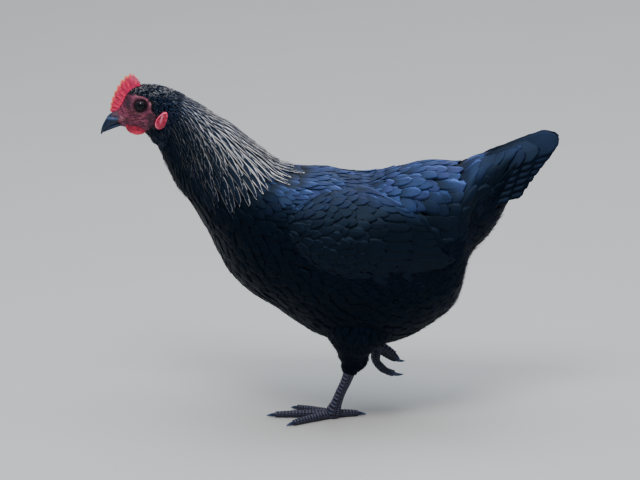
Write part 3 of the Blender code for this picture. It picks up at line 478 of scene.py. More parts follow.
def put_mesh(name, shells, slot, marks=None, maps=None, look=None):
    """Make one object of closed shells (points, quads, triangles), in metres, and let it ride.
    marks are three numbers a point, maps the corners' places on each named UV map, and look is
    its finish where that isn't the slot's own."""
    points, quads, fans, start = [], [], [], 0
    for shell in shells:
        faces = outward(*shell) if maps is None else shell[1:]
        points.append(shell[0])
        quads.append(faces[0] + start)
        fans.append(faces[1] + start)
        start += len(shell[0])
    points, quads, fans = np.vstack(points), np.vstack(quads), np.vstack(fans)
    mesh = bpy.data.meshes.new(name)
    mesh.vertices.add(len(points))
    mesh.vertices.foreach_set("co", (points * MM).astype(np.float32).ravel())
    mesh.loops.add(quads.size + fans.size)
    mesh.loops.foreach_set("vertex_index", np.concatenate([quads.ravel(), fans.ravel()]).astype(np.int32))
    mesh.polygons.add(len(quads) + len(fans))
    starts = np.concatenate([np.arange(len(quads)) * 4, quads.size + np.arange(len(fans)) * 3])
    mesh.polygons.foreach_set("loop_start", starts.astype(np.int32))
    mesh.update(calc_edges=True)
    mesh.polygons.foreach_set("use_smooth", np.ones(len(mesh.polygons), bool))
    for label, places in (maps or {}).items():
        layer = mesh.uv_layers.new(name=label)
        layer.data.foreach_set("uv", places.astype(np.float32).ravel())
    if marks is not None:
        attribute = mesh.attributes.new("mark", "FLOAT_VECTOR", "POINT")
        attribute.data.foreach_set("vector", np.vstack(marks).astype(np.float32).ravel())
    mesh.materials.append(finish_named(look or slot))
    made = bpy.data.objects.new(name, mesh)
    bpy.context.scene.collection.objects.link(made)
    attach(made, "root")
    return made


def point_marks(*marks):
    """The three marks of a tube's points, with zeros for its two poles."""
    return np.vstack([np.stack(np.broadcast_arrays(*marks), -1).reshape(-1, 3), np.zeros((2, 3))])


def put_part(name, points, slot, *marks):
    """Make one object of a closed tube through rings, with the three marks of its points, if any."""
    return put_mesh(name, [tube_shell(points)], slot, [point_marks(*marks)] if marks else None)


# Feathers

class Form:
    """The shape that one kind of feather has: rows along it, columns across its upper face, the
    width along it as shares of the greatest, its camber and its thickness at the shaft."""

    def __init__(self, rows, columns, width, camber=0.06, thick=0.45, ragged=0.03, ease=0.8, tip=0.02):
        self.share = 1.0 - (1.0 - np.linspace(0.0, 1.0, rows)) ** 1.5
        self.across = np.linspace(-1.0, 1.0, columns)
        width = spline(np.array(width)[:, None], self.share * (len(width) - 1))[:, 0]
        self.width = np.maximum(width, 0.02)
        self.camber, self.thick, self.ragged, self.ease, self.tip = camber, thick, ragged, ease, tip


ROUND = Form(9, 5, (0.50, 0.80, 0.97, 1.0, 0.92, 0.36), camber=0.06)
OVAL = Form(8, 5, (0.50, 0.80, 0.98, 0.98, 0.80, 0.24), camber=0.03)
LANCE = Form(9, 5, (0.62, 0.86, 1.0, 0.95, 0.72, 0.42, 0.06), camber=0.10, ease=0.7)
TINY = Form(4, 3, (0.5, 1.0, 0.95, 0.25), camber=0.2, thick=0.3, ragged=0.0)
WISP = Form(5, 2, (0.9, 1.0, 0.8, 0.45, 0.1), camber=0.0, thick=0.35, ragged=0.0, ease=1.1)
BROAD = Form(14, 7, (0.45, 0.70, 0.86, 0.95, 1.0, 1.0, 0.95, 0.36), camber=0.04, thick=0.55,
             ragged=0.01, tip=0.01)


def lay_feathers(sheet, form, a, b, run, half, low, high, skew=0.0, tilt=0.0, seed=0):
    """Feathers on a sheet. Each starts at (a, b) and runs along a for run: at share t of it and u
    across, the sheet is read at (a + run t, b + skew t t + half width u / stretch) and the point
    stands off it by its height there, from low at the root to high at the tip, its camber times
    1 - u u and its tilt times u. Gives the shell of all of them as pack_loops does."""
    draw = np.random.default_rng(seed)
    count = len(a)
    share, across = form.share, form.across
    rows, columns = len(share), len(across)
    run, half, low, high, skew, tilt = (np.broadcast_to(np.asarray(value, float), (count,))
                                        for value in (run, half, low, high, skew, tilt))
    line_a = a[:, None] + run[:, None] * share
    line_b = b[:, None] + skew[:, None] * share ** 2
    stretch = np.linalg.norm(sheet.read(line_a, line_b)[3], axis=-1)
    wide = half[:, None] * form.width * (1 + form.ragged * draw.normal(size=(count, rows)))
    spread_b = line_b[..., None] + (wide / np.maximum(stretch, 1e-6))[..., None] * across
    uneven = form.ragged * draw.normal(size=(count, rows, columns)) * (share > 0.6)[None, :, None]
    spread_a = line_a[..., None] + run[:, None, None] * uneven * np.abs(across)
    place, normal = sheet.read(spread_a, spread_b)[:2]
    stand = low[:, None] + (high - low)[:, None] * share ** form.ease
    vault = form.camber * wide[..., None] * (1 - across ** 2)
    lean = (tilt[:, None] * share)[..., None] * across
    top = place + normal * (stand[..., None] + vault + lean)[..., None]
    core, core_normal = sheet.read(line_a, line_b)[:2]
    thick = form.thick * (1 - 0.6 * share)
    middle = stand + form.camber * wide - thick
    under = (core + core_normal * middle[..., None])[:, :, None]
    loop = np.concatenate([top, under], 2)
    beyond = line_a[:, -1] + run * form.tip
    tip, tip_normal = sheet.read(beyond, line_b[:, -1])[:2]
    tip = tip + tip_normal * (stand[:, -1] - 0.5 * thick[-1])[:, None]
    root = loop[:, 0].mean(1)
    return pack_loops(loop, root, tip, across)


def map_corners(*corners):
    """Places on a map of the corners of many faces: each entry is one corner's u and v."""
    return np.stack([np.stack(np.broadcast_arrays(*corner), -1) for corner in corners], 1)


def pack_loops(loop, root, tip, across):
    """Points, faces and map places of many closed vanes given as loops round each row."""
    count, rows, ring = loop.shape[:3]
    size = rows * ring + 2
    points = np.concatenate([loop.reshape(count, -1, 3), root[:, None], tip[:, None]], 1).reshape(-1, 3)
    quads, fans = tube_faces(rows, ring)
    i = np.repeat(np.arange(rows - 1), ring)
    j = np.tile(np.arange(ring), rows - 1)
    around = np.append((across + 1) / 2, 0.5)
    here, after, above, below = around[j], around[(j + 1) % ring], i / (rows - 1), (i + 1) / (rows - 1)
    quad_vane = map_corners((here, above), (after, above), (after, below), (here, below))
    left, right, above, below = j / ring, (j + 1) / ring, (i + 1) / (rows + 1), (i + 2) / (rows + 1)
    quad_bake = map_corners((left, above), (right, above), (right, below), (left, below))
    j = np.arange(ring)
    here, after, shaft = around, around[(j + 1) % ring], np.full(ring, 0.5)
    fan_vane = np.concatenate([map_corners((after, 0.0), (here, 0.0), (shaft, 0.0)),
                               map_corners((here, 1.0), (after, 1.0), (shaft, 1.0))])
    left, right, middle = j / ring, (j + 1) / ring, (j + 0.5) / ring
    low, high = 1 / (rows + 1), rows / (rows + 1)
    fan_bake = np.concatenate([map_corners((right, low), (left, low), (middle, 0.0)),
                               map_corners((left, high), (right, high), (middle, 1.0))])
    places = [quad_vane, fan_vane, quad_bake, fan_bake]
    turned = outward(points[:size], quads, fans)[0][0, 0] != quads[0, 0]
    offset = (np.arange(count) * size)[:, None, None]
    quads, fans = (quads + offset).reshape(-1, 4), (fans + offset).reshape(-1, 3)
    if turned:
        quads, fans, places = quads[:, ::-1], fans[:, ::-1], [place[:, ::-1] for place in places]
    return {"points": points, "quads": quads, "fans": fans, "size": size, "count": count,
            "vane": places[:2], "bake": places[2:]}


def put_feathers(name, laid, slot, look=None):
    """Make one object of laid feathers: each entry is the laid vanes, their roots on the OFBake
    map and three marks a feather."""
    shells, marks = [], []
    corners = {"Vane": ([], []), "OFBake": ([], [])}
    for vanes, roots, mark in laid:
        count = vanes["count"]
        shells.append((vanes["points"], vanes["quads"], vanes["fans"]))
        marks.append(np.repeat(mark, vanes["size"], 0))
        for part in (0, 1):
            vane, bake = vanes["vane"][part], vanes["bake"][part]
            corners["Vane"][part].append(np.tile(vane.reshape(-1, 2), (count, 1)))
            patch = roots[:, None] + (bake.reshape(1, -1, 2) - 0.5) * PATCH
            corners["OFBake"][part].append(patch.reshape(-1, 2))
    maps = {label: np.vstack(quads + fans) for label, (quads, fans) in corners.items()}
    put_mesh(name, shells, slot, marks, maps, look)


def spread(sheet, a_range, b_range, spacing, gap, draw, shake=0.12):
    """Roots in staggered rows: rows run from one a to the other at a spacing that changes evenly
    along the way, and each is filled at a gap that does the same, both in millimetres.
    Gives a, b and the share of the way."""
    fine = np.linspace(*a_range, 400)
    middle = np.full(400, sum(b_range) / 2)
    step = np.linalg.norm(np.diff(sheet.read(fine, middle)[0], axis=0), axis=1)
    way = np.append(0, np.cumsum(step))
    share = way / way[-1]
    pace = spacing[0] + (spacing[1] - spacing[0]) * share
    rows_done = np.append(0, np.cumsum(step / pace[1:]))
    found = []
    for row in range(int(rows_done[-1]) + 1):
        a = np.interp(row, rows_done, fine)
        part = np.interp(row, rows_done, share)
        line = np.linspace(*b_range, 200)
        arc = way_along(sheet.read(np.full(200, a), line)[0])
        count = max(2, round(arc[-1] / (gap[0] + (gap[1] - gap[0]) * part)))
        moved = draw.uniform(-shake, shake, count)
        want = (np.arange(count) + 0.5 * (row % 2) + 0.25 + moved) / count * arc[-1]
        b = np.interp(np.minimum(want, arc[-1]), arc, line)
        length_a = np.interp(row + 1, rows_done, fine) - a if row + 1 <= rows_done[-1] else 0.0
        moved = draw.uniform(-shake, shake, count)
        found.append(np.stack([a + moved * length_a, b, np.full(count, part)], -1))
    return np.vstack(found).T


def in_units(sheet, a, b, length):
    """A length in millimetres as a distance in a at each place of the sheet."""
    return length / np.maximum(np.linalg.norm(sheet.read(a, b)[2], axis=-1), 1e-6)


def from_back(b):
    """How far round from the back a turn is, from 0 on the back to pi at the belly."""
    return np.abs((np.asarray(b) + math.pi) % TURN - math.pi)


def coat_map(a, b):
    """Places on the OFBake map: station across it and turn up it, as the skin unwraps."""
    return np.stack([0.02 + 0.96 * a / len(STATIONS), 0.02 + 0.96 * (b / TURN % 1.0)], -1)


def marks_of(draw, count, silver_edge_and_highlight, painted_sheen):
    """The marks of each feather: a random shade, a silver edge on laced feathers and a painted edge highlight
    on the others, and how much painted blue sheen it gets.
    """
    return np.stack([draw.uniform(0, 1, count), np.broadcast_to(silver_edge_and_highlight, (count,)),
                     np.broadcast_to(painted_sheen, (count,))], -1)


# Materials

class Wire:
    """One output of a node; sums and products with it add Math nodes."""

    def __init__(self, finish, socket):
        self.finish, self.socket = finish, socket

    def _math(self, operation, first, second):
        return self.finish.node("ShaderNodeMath", {"operation": operation}, {0: first, 1: second})

    def __add__(self, other):
        return self._math("ADD", self, other)

    def __sub__(self, other):
        return self._math("SUBTRACT", self, other)

    def __rsub__(self, other):
        return self._math("SUBTRACT", other, self)

    def __mul__(self, other):
        return self._math("MULTIPLY", self, other)

    def __pow__(self, other):
        return self._math("POWER", self, other)

    def __abs__(self):
        return self._math("ABSOLUTE", self, 0.0)

    __radd__ = __add__
    __rmul__ = __mul__


class Finish:
    """A material under construction: one Principled shader and the nodes that feed it."""

    def __init__(self, name, **constants):
        self.material = bpy.data.materials.new(name)
        self.material.use_nodes = True
        self.tree = self.material.node_tree
        self.shader = self.tree.nodes["Principled BSDF"]
        for socket, value in constants.items():
            self.shader.inputs[socket.replace("_", " ")].default_value = value

    def node(self, kind, settings=None, inputs=None, output=0):
        """Add a node: its settings first, then the values or links of its sockets."""
        made = self.tree.nodes.new(kind)
        for key, value in (settings or {}).items():
            setattr(made, key, value)
        for key, value in (inputs or {}).items():
            socket = made.inputs[key]
            if isinstance(value, Wire):
                self.tree.links.new(value.socket, socket)
            elif hasattr(value, "__len__") and socket.type == "RGBA" and len(value) == 3:
                socket.default_value = (*value, 1.0)
            else:
                socket.default_value = value
        return Wire(self, made.outputs[output])

    def feed(self, socket, value):
        """Feed a socket of the shader."""
        self.tree.links.new(value.socket, self.shader.inputs[socket])

    def object_place(self):
        """The place in the object's own space, in metres."""
        return self.node("ShaderNodeTexCoord", output=3)

    def parts(self, vector):
        """The three numbers of a vector."""
        split = self.node("ShaderNodeSeparateXYZ", None, {0: vector})
        outputs = split.socket.node.outputs
        return tuple(Wire(self, outputs[k]) for k in range(3))

    def mark(self):
        """The three marks of the mesh."""
        return self.parts(self.node("ShaderNodeAttribute", {"attribute_name": "mark"}, output=1))

    def smooth(self, value, low, high):
        """0 below low, 1 above high, and a smooth step between them."""
        return self.node("ShaderNodeMapRange", {"interpolation_type": "SMOOTHSTEP"},
                         {0: value, 1: low, 2: high})

    def mix(self, factor, first, second):
        """A colour between two."""
        return self.node("ShaderNodeMix", {"data_type": "RGBA"}, {0: factor, 6: first, 7: second}, output=2)

    def scaled(self, vector, scale):
        """A vector times one number on each axis."""
        return self.node("ShaderNodeMapping", None, {"Vector": vector, "Scale": scale})

    def noise(self, vector, scale, detail=3.0, rough=0.55):
        """Noise between 0 and 1, with about that many lumps to a metre."""
        return self.node("ShaderNodeTexNoise", None, {"Vector": vector, "Scale": scale, "Detail": detail,
                                                      "Roughness": rough})

    def cells(self, vector, scale):
        """How far the nearest of some scattered points is, with about that many to a metre."""
        return self.node("ShaderNodeTexVoronoi", None, {"Vector": vector, "Scale": scale})

    def bump(self, height, strength, distance):
        """Feed the normal with a relief of that depth in metres."""
        self.feed("Normal", self.node("ShaderNodeBump", None, {"Strength": strength, "Distance": distance,
                                                              "Height": height}))


def plumage(name, colours, level, laced=False):
    """Black feathers: barbs slant from the shaft, and a painted sky sheen, blue and violet, lies in the base
    colour where its mark says so. The second mark is a silver edge on the laced ones, broader the stronger it
    is. On the others it is a painted highlight on the edge that faces the back: above 0 on the left side,
    below 0 on the right."""
    finish = Finish(name, Specular_IOR_Level=level)
    finish.shader.inputs["Specular Tint"].default_value = (0.38, 0.62, 1.0, 1.0)
    u, v, _ = finish.parts(finish.node("ShaderNodeUVMap", {"uv_map": "Vane"}))
    shade, silver_edge_and_highlight, painted_sheen = finish.mark()
    side = abs(u * 2.0 - 1.0)
    barbs = finish.node("ShaderNodeMath", {"operation": "SINE"}, {0: v * 150.0 - side * 42.0}) * 0.5 + 0.5
    shaft = 1.0 - finish.smooth(side, 0.02, 0.09)
    place = finish.object_place()
    patchy = finish.smooth(finish.noise(place, 26.0, 2.0), 0.30, 0.70)
    dark, sheen = tuple(colours.feather), tuple(colours.sheen)
    # Violet and blue: the colours of the painted sky sheen.
    violet = tuple(c * s for c, s in zip(sheen, (1.40, 0.85, 0.95)))
    blue = finish.mix(finish.smooth(shade, 0.45, 1.0) * 0.6, sheen, violet)
    # How much painted sheen each place gets, fading towards the root.
    amount = painted_sheen * (0.16 + 0.20 * shade + 0.50 * patchy) * finish.smooth(v, 0.05, 0.75)
    base = finish.mix(amount, dark, blue)
    if laced:
        speck = finish.noise(place, 900.0, 2.0)
        edge = finish.smooth(side - (0.84 - 0.22 * silver_edge_and_highlight), 0.0, 0.06)
        tip = finish.smooth(v, 0.90, 0.98) * finish.smooth(silver_edge_and_highlight, 0.15, 0.5)
        cover = 1.0 - (1.0 - edge) * (1.0 - tip)
        strength = (0.10 + 0.90 * silver_edge_and_highlight) * finish.smooth(silver_edge_and_highlight, 0.0, 0.12) * (0.80 + 0.3 * speck)
        base = finish.mix(cover * strength, base, tuple(colours.silver))
    else:
        # A painted highlight on the edge that faces the back.
        painted_highlight = finish.smooth((1.0 - u * 2.0) * silver_edge_and_highlight, 0.15, 0.85) * finish.smooth(v, 0.15, 0.6)
        base = finish.mix(painted_highlight * (0.45 + 0.55 * patchy), base, tuple(2.8 * c for c in sheen))
    finish.feed("Base Color", base)
    finish.feed("Roughness", 0.44 + 0.12 * barbs + 0.10 * shade)
    finish.bump(barbs * 0.6 + shaft * 0.9 + patchy * 0.4, 0.25, 0.00025)
    return finish.material


def down_skin(colours):
    """The hen's skin: bare red and wrinkled on the face, black down under the feathers, with painted shade in
    the wrinkles' grooves and painted highlights on their ridges. The marks are bare skin, dark places, among
    them a painted shade line in the lids' crease, and pale pink patches: painted highlights on folds by the
    eye and a fainter patch by the beak."""
    finish = Finish("face_skin", Specular_IOR_Level=0.30)
    bare, dim, fold = finish.mark()
    place = finish.object_place()
    fine = finish.cells(place, 900.0)
    broad = finish.noise(place, 170.0, 4.0)
    wrinkles = finish.noise(finish.scaled(place, (0.35, 1.0, 2.6)), 330.0, 3.0, 0.6)
    red = tuple(colours.face)
    skin = finish.mix(finish.smooth(broad, 0.35, 0.7), red, (red[0] * 1.5, red[1] * 1.7, red[2] * 2.2))
    # Painted shade in the wrinkles' grooves, then a painted highlight on their ridges.
    skin = finish.mix(finish.smooth(wrinkles, 0.50, 0.60) * 0.8, skin, (0.040, 0.010, 0.020))
    skin = finish.mix(finish.smooth(wrinkles, 0.46, 0.38) * 0.45, skin, (0.42, 0.10, 0.14))
    skin = finish.mix(dim, skin, (0.018, 0.010, 0.018))
    # Pale pink by the third mark: painted highlights on the folds by the eye.
    skin = finish.mix(fold, skin, (0.70, 0.30, 0.36))
    finish.feed("Base Color", finish.mix(bare, tuple(colours.feather), skin))
    finish.feed("Roughness", 0.85 - 0.40 * bare)
    finish.bump(fine * 0.8 - wrinkles * 2.2 + broad, 0.7, 0.0007)
    return finish.material


def fleshy(name, colours, edge):
    """Comb, wattle and lobe: granular red skin; the marks are the share to the edge, the pale rim and a
    darkening, which on the comb is painted shade in its grooves. Towards the edge it turns orange, on the
    wattle's lower rim as a painted highlight."""
    finish = Finish(name, Specular_IOR_Level=0.4, Subsurface_Weight=0.06, Subsurface_Scale=0.003)
    finish.shader.inputs["Subsurface Radius"].default_value = (1.0, 0.25, 0.2)
    reach, pale, fold = finish.mark()
    place = finish.object_place()
    grains = finish.cells(place, 1150.0)
    broad = finish.noise(place, 190.0, 3.0)
    red = tuple(colours.comb)
    base = finish.mix(finish.smooth(broad, 0.3, 0.7), red, (red[0] * 0.62, red[1] * 0.6, red[2] * 0.9))
    # Darker red by the third mark: painted shade in the comb's grooves, a darker tone on the wattle and in
    # the lobe's middle.
    base = finish.mix(fold * 0.86, base, (0.17, 0.005, 0.014))
    # Orange towards the edge; on the wattle only at its lower rim, a painted highlight.
    base = finish.mix(finish.smooth(reach, 0.82, 1.0) * 0.8, base, edge)
    base = finish.mix(pale, base, (0.86, 0.28, 0.42))
    finish.feed("Base Color", base)
    finish.feed("Roughness", 0.42 + 0.16 * broad)
    finish.bump(1.0 - grains, 0.55, 0.0005)
    return finish.material


def horn(name, colours, streak):
    """Beak and claw: dark slate horn with fine lengthwise grain; the first mark is a pale streak, on the beak
    a painted bluish highlight and on the claws their paler tips, and the second the skin that runs on to its
    base."""
    finish = Finish(name, Specular_IOR_Level=0.35)
    pale, warm, _ = finish.mark()
    place = finish.object_place()
    grain = finish.noise(finish.scaled(place, (1.0, 3.0, 3.0)), 260.0, 4.0, 0.6)
    dark = tuple(colours.horn)
    base = finish.mix(finish.smooth(grain, 0.35, 0.75), dark, tuple(c * 2.4 for c in dark))
    base = finish.mix(warm, base, (0.085, 0.040, 0.058))
    # Pale streak: a painted highlight on the beak, the paler tip on the claws.
    base = finish.mix(pale * streak, base, (0.11, 0.17, 0.32))
    finish.feed("Base Color", base)
    finish.feed("Roughness", 0.34 + 0.2 * grain)
    finish.bump(grain, 0.25, 0.0003)
    return finish.material


def eyeball():
    """The eye: a black pupil in a very dark brown iris under a clear, wet front."""
    finish = Finish("eye_gloss", Roughness=0.08, Specular_IOR_Level=0.20)
    place = finish.object_place()
    x, _, z = finish.parts(place)
    off_x, off_z = (x - EYE_AT[0] * MM) * 1000.0, (z - EYE_AT[1] * MM) * 1000.0
    out = (off_x * off_x + off_z * off_z) ** 0.5
    fibres = finish.noise(finish.scaled(place, (1.0, 0.2, 1.0)), 1400.0, 3.0)
    iris = finish.mix(finish.smooth(fibres, 0.35, 0.7), (0.004, 0.006, 0.010), (0.009, 0.012, 0.018))
    base = finish.mix(1.0 - finish.smooth(out, 2.9, 3.3), iris, (0.001, 0.0015, 0.002))
    base = finish.mix(finish.smooth(out, 4.4, 5.2), base, (0.004, 0.004, 0.006))
    finish.feed("Base Color", base)
    return finish.material


def scaly(colours):
    """Leg scales: slate plates, each a little different, with dark seams and a dull purple painted highlight
    on their raised edges; the marks are each plate's shade, its seam and its raised edge."""
    finish = Finish("leg_scale", Specular_IOR_Level=0.28)
    shade, seam, edge = finish.mark()
    place = finish.object_place()
    grain = finish.noise(place, 600.0, 4.0, 0.6)
    base_colour = tuple(colours.leg)
    base = finish.mix(shade, tuple(0.6 * c for c in base_colour), tuple(1.7 * c for c in base_colour))
    # A painted highlight on each plate's raised edge.
    base = finish.mix(edge * (0.35 + 0.65 * grain), base, (0.15, 0.13, 0.24))
    base = finish.mix(seam, base, (0.004, 0.005, 0.008))
    finish.feed("Base Color", base)
    finish.feed("Roughness", 0.42 + 0.25 * grain)
    finish.bump(grain, 0.35, 0.0003)
    return finish.material


def studio(colours):
    """The floor: matt pale board with a faint mottle."""
    finish = Finish("studio_floor", Specular_IOR_Level=0.25)
    broad = finish.noise(finish.object_place(), 9.0, 4.0)
    pale = tuple(colours.floor)
    finish.feed("Base Color", finish.mix(broad, pale, tuple(0.96 * c for c in pale)))
    finish.feed("Roughness", 0.75 + 0.1 * broad)
    return finish.material


def finish_named(name):
    """The scene's finish of that name, made once."""
    found = bpy.data.materials.get(name)
    if found:
        return found
    colours = bpy.context.scene.hen_colours
    makers = {
        "black_plumage": lambda: plumage("black_plumage", colours, 0.10),
        "glossy_plumage": lambda: plumage("glossy_plumage", colours, 0.20),
        "hackle_plumage": lambda: plumage("hackle_plumage", colours, 0.16, laced=True),
        "face_skin": lambda: down_skin(colours),
        "comb_skin": lambda: fleshy("comb_skin", colours, (0.92, 0.27, 0.10)),
        "beak_horn": lambda: horn("beak_horn", colours, 1.0),
        "claw_horn": lambda: horn("claw_horn", colours, 0.6),
        "eye_gloss": eyeball,
        "leg_scale": lambda: scaly(colours),
        "studio_floor": lambda: studio(colours),
    }
    return makers[name]()


def drop_frame_looks():
    """Rename the frame's own materials, so that the scene's finishes have the slots' names."""
    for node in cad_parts.values():
        for look in node.data.materials:
            if look and not look.name.endswith("_solid"):
                look.name = look.name.split(".")[0] + "_solid"


# Skin

def face_share(x, z):
    """Distance from the middle of the bare face in shares of its radii."""
    return np.hypot((x - FACE_AT[0]) / FACE_RADIUS[0], (z - FACE_AT[1]) / FACE_RADIUS[1])


def ear_share(x, z):
    """Distance from the middle of the ear tuft in shares of its radii."""
    return np.hypot((x - EAR_AT[0]) / EAR_RADIUS[0], (z - EAR_AT[1]) / EAR_RADIUS[1])


def eye_pocket(from_eye):
    """Depth of the pocket that the eye sits in."""
    return 7.5 * (1 - smooth(from_eye, 6.0, 7.4))


def face_relief(points):
    """How far the head's skin stands out: a brow and an eye ring, folds in rings round the eye, the
    cheek, the line of the mouth, and the pocket that the eye sits in."""
    x, z = points[..., 0], points[..., 2]
    from_eye = np.hypot(x - EYE_AT[0], z - EYE_AT[1])
    bare = 1 - smooth(face_share(x, z), 0.88, 1.05)
    warp = ripple(points, 9.0, SEED) * 1.3
    rings = np.sin((from_eye + warp) * TURN / 3.1) * 0.22 * smooth(from_eye, 8.5, 10.5)
    rings = rings * (0.3 + 0.7 * smooth(EYE_AT[1] - z, -6.0, 4.0))
    brow = 1.1 * bell(x, EYE_AT[0] - 1.0, 9.0) * bell(z, EYE_AT[1] + 8.6, 2.6)
    ring = 0.7 * bell(from_eye, 9.6, 2.2)
    cheek = 0.9 * bell(x, -196.0, 9.0) * bell(z, 325.0, 4.5)
    down = np.hypot((x - MOUTH_END[0] + 3.5) / 1.6, z - MOUTH_END[1] - 0.25 * (x - MOUTH_END[0]))
    mouth = -0.9 * bell(down, 0.0, 1.5)
    pebbles = ripple(points, 1.7, SEED + 1) * 0.09 + ripple(points, 3.4, SEED + 2) * 0.13
    return (rings + brow + ring + cheek + mouth + pebbles) * bare - eye_pocket(from_eye)


def make_skin():
    """One skin for head, neck, body, wings, tail base and thighs, under the coat by its depth."""
    body = hen_sheet()
    rings = np.concatenate([np.linspace(0.0, NECK, 190)[:-1], np.linspace(NECK, LAST, 150)])
    at, turn = lattice(rings, circle(232))
    place, normal = body.read(at, turn)[:2]
    x, z = place[..., 0], place[..., 2]
    bare = (1 - smooth(face_share(x, z) + 0.05 * ripple(place, 6.0, SEED + 3), 0.92, 1.04)) * (at < NECK)
    ear = 1 - smooth(ear_share(x, z), 0.8, 1.1)
    bare = bare * (1 - ear)
    depth = np.interp(at, *COAT)
    head = 1 - smooth(at, NECK - 1.5, NECK)
    points = place + normal * (face_relief(place) * head - depth * (1 - 0.8 * bare * head))[..., None]
    middle = points.mean(1, keepdims=True)
    points = middle + (points - middle) * (1 - 0.55 * smooth(at, 28.4, 30.5))[..., None]
    from_eye = np.hypot(x - EYE_AT[0], z - EYE_AT[1])
    dim = (1 - smooth(from_eye, 8.0, 10.5)) * 0.55 + 0.5 * smooth(z, 350.0, 353.0)
    dim = dim + 0.9 * bell(x, -210.5, 5.0) * bell(z, 346.0, 8.0)
    dim = dim + 0.7 * smooth(x, -192.0, -186.0) * (1 - smooth(z, 332.0, 338.0))
    dim = np.clip(dim + 0.30 * smooth(ripple(place, 5.0, SEED + 4), 0.2, 0.9), 0, 0.85) * bare
    # Pale pink behind the eye: a painted highlight on a fold; and a fainter pale patch near the beak's base.
    fold = 0.65 * bell(x, -185.6, 1.5) * bell(z, 344.5, 4.5)
    fold = (fold + 0.30 * bell(x, -217.0, 3.0) * bell(z, 327.0, 3.0)) * bare
    shells, marks = [tube_shell(points)], [point_marks(bare, dim, fold)]
    for rows in THIGHS.values():
        at, turn = lattice(np.linspace(0, len(rows) - 1.0, 40), circle(48))
        shells.append(tube_shell(tube_point(rows, at, turn, LEG_FRONT, -2.6)))
    for side in (LEFT, RIGHT):
        p, q = lattice(np.linspace(0.3, 3.5, 40), np.linspace(0.3, 3.6, 30))
        place, normal = wing_sheet(side).read(p, q)[:2]
        over, under = place - normal * 2.6, place - normal * 9.0
        shells.append(tube_shell(np.concatenate([over, under[:, ::-1]], 1)))
    marks += [np.zeros((len(shell[0]), 3)) for shell in shells[1:]]
    made = put_mesh("skin", shells, "face_skin", marks)
    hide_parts("head", "neck", "torso", "wing_left", "wing_right", "tail", "thigh_left", "thigh_right")


def make_lids():
    """The lids: round the eye, rings of a margin that rests on the eyeball, a rolled lid and two
    folds, run out to the face where the lid ends."""
    share, turn = lattice(np.linspace(0, 1, 46), circle(132))
    open_x, open_z = LID_OPEN
    open_z = open_z * np.where(np.sin(turn) > 0, 0.94, 1.0)
    inner = np.stack([open_x * np.cos(turn), open_z * np.sin(turn)], -1)
    outer = LID_REACH * np.stack([np.cos(turn), np.sin(turn)], -1)
    flat = inner + (outer - inner) * share[..., None]
    out = np.hypot(flat[..., 0], flat[..., 1])
    x, z = EYE_AT[0] + flat[..., 0], EYE_AT[1] + flat[..., 1]
    face, normal = hen_sheet().read(*side_place(x, z))[:2]
    face = face + normal * (face_relief(face) + eye_pocket(out))[..., None]
    ball = EYE_OUT + np.sqrt(np.maximum(EYE_RADIUS ** 2 - out ** 2, 0.6))
    lid = ball + 0.15 + 1.15 * smooth(share, 0.0, 0.18) * (1 - smooth(share, 0.42, 0.75))
    crease = 0.5 * bell(share, 0.52, 0.05) - 0.4 * bell(share, 0.68, 0.05)
    free = 1 - smooth(share, 0.85, 1.0)
    wavy = 0.12 * np.sin(turn * 17 + 3 * np.sin(turn * 3)) * smooth(share, 0.2, 0.6) * free
    blend = smooth(share, 0.25, 0.8)
    depth = lid * (1 - blend) - face[..., 1] * blend + (0.45 * crease + wavy) * free
    depth = depth - 0.35 * smooth(share, 0.9, 1.0)
    x = x * (1 - blend) + face[..., 0] * blend
    z = z * (1 - blend) + face[..., 2] * blend
    off_ball = smooth(share, 0.08, 0.20)
    dim = (1 - off_ball) + 0.80 * (1 - smooth(share, 0.25, 0.62)) * off_ball
    # A dark line in the lid's crease: painted shade.
    dim = np.clip(dim + 0.6 * bell(share, 0.56, 0.06), 0, 1)
    # Pale on the upper fold only: a painted highlight.
    fold = 0.75 * bell(share, 0.70, 0.07) * smooth(np.sin(turn), 0.1, 0.8)
    marks = np.stack([np.ones_like(dim), dim * 0.97, fold * (1 - dim)], -1)
    marks = np.concatenate([marks, marks[::-1]]).reshape(-1, 3)
    for side, label in SIDES:
        top = np.stack([x, side * depth, z], -1)
        under = top - np.array([0.0, side, 0.0])
        shell = ring_shell(np.concatenate([top, under[::-1]]))
        put_mesh("eyelids_" + label, [shell], "face_skin", [marks])


def make_eyes():
    """Each eyeball: a sphere with its front a little fuller, its pole facing sideways."""
    lean, turn = lattice(np.linspace(-1.5, 1.5, 40), circle(64))
    radius = EYE_RADIUS * (1 + 0.03 * bell(lean, 1.57, 0.5))
    for side, label in SIDES:
        points = np.stack([EYE_AT[0] + radius * np.cos(lean) * np.cos(turn),
                           side * (EYE_OUT + radius * np.sin(lean)),
                           EYE_AT[1] + radius * np.cos(lean) * np.sin(turn)], -1)
        made = put_part("eyeball_" + label, points, "eye_gloss")
        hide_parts("eye_" + label)


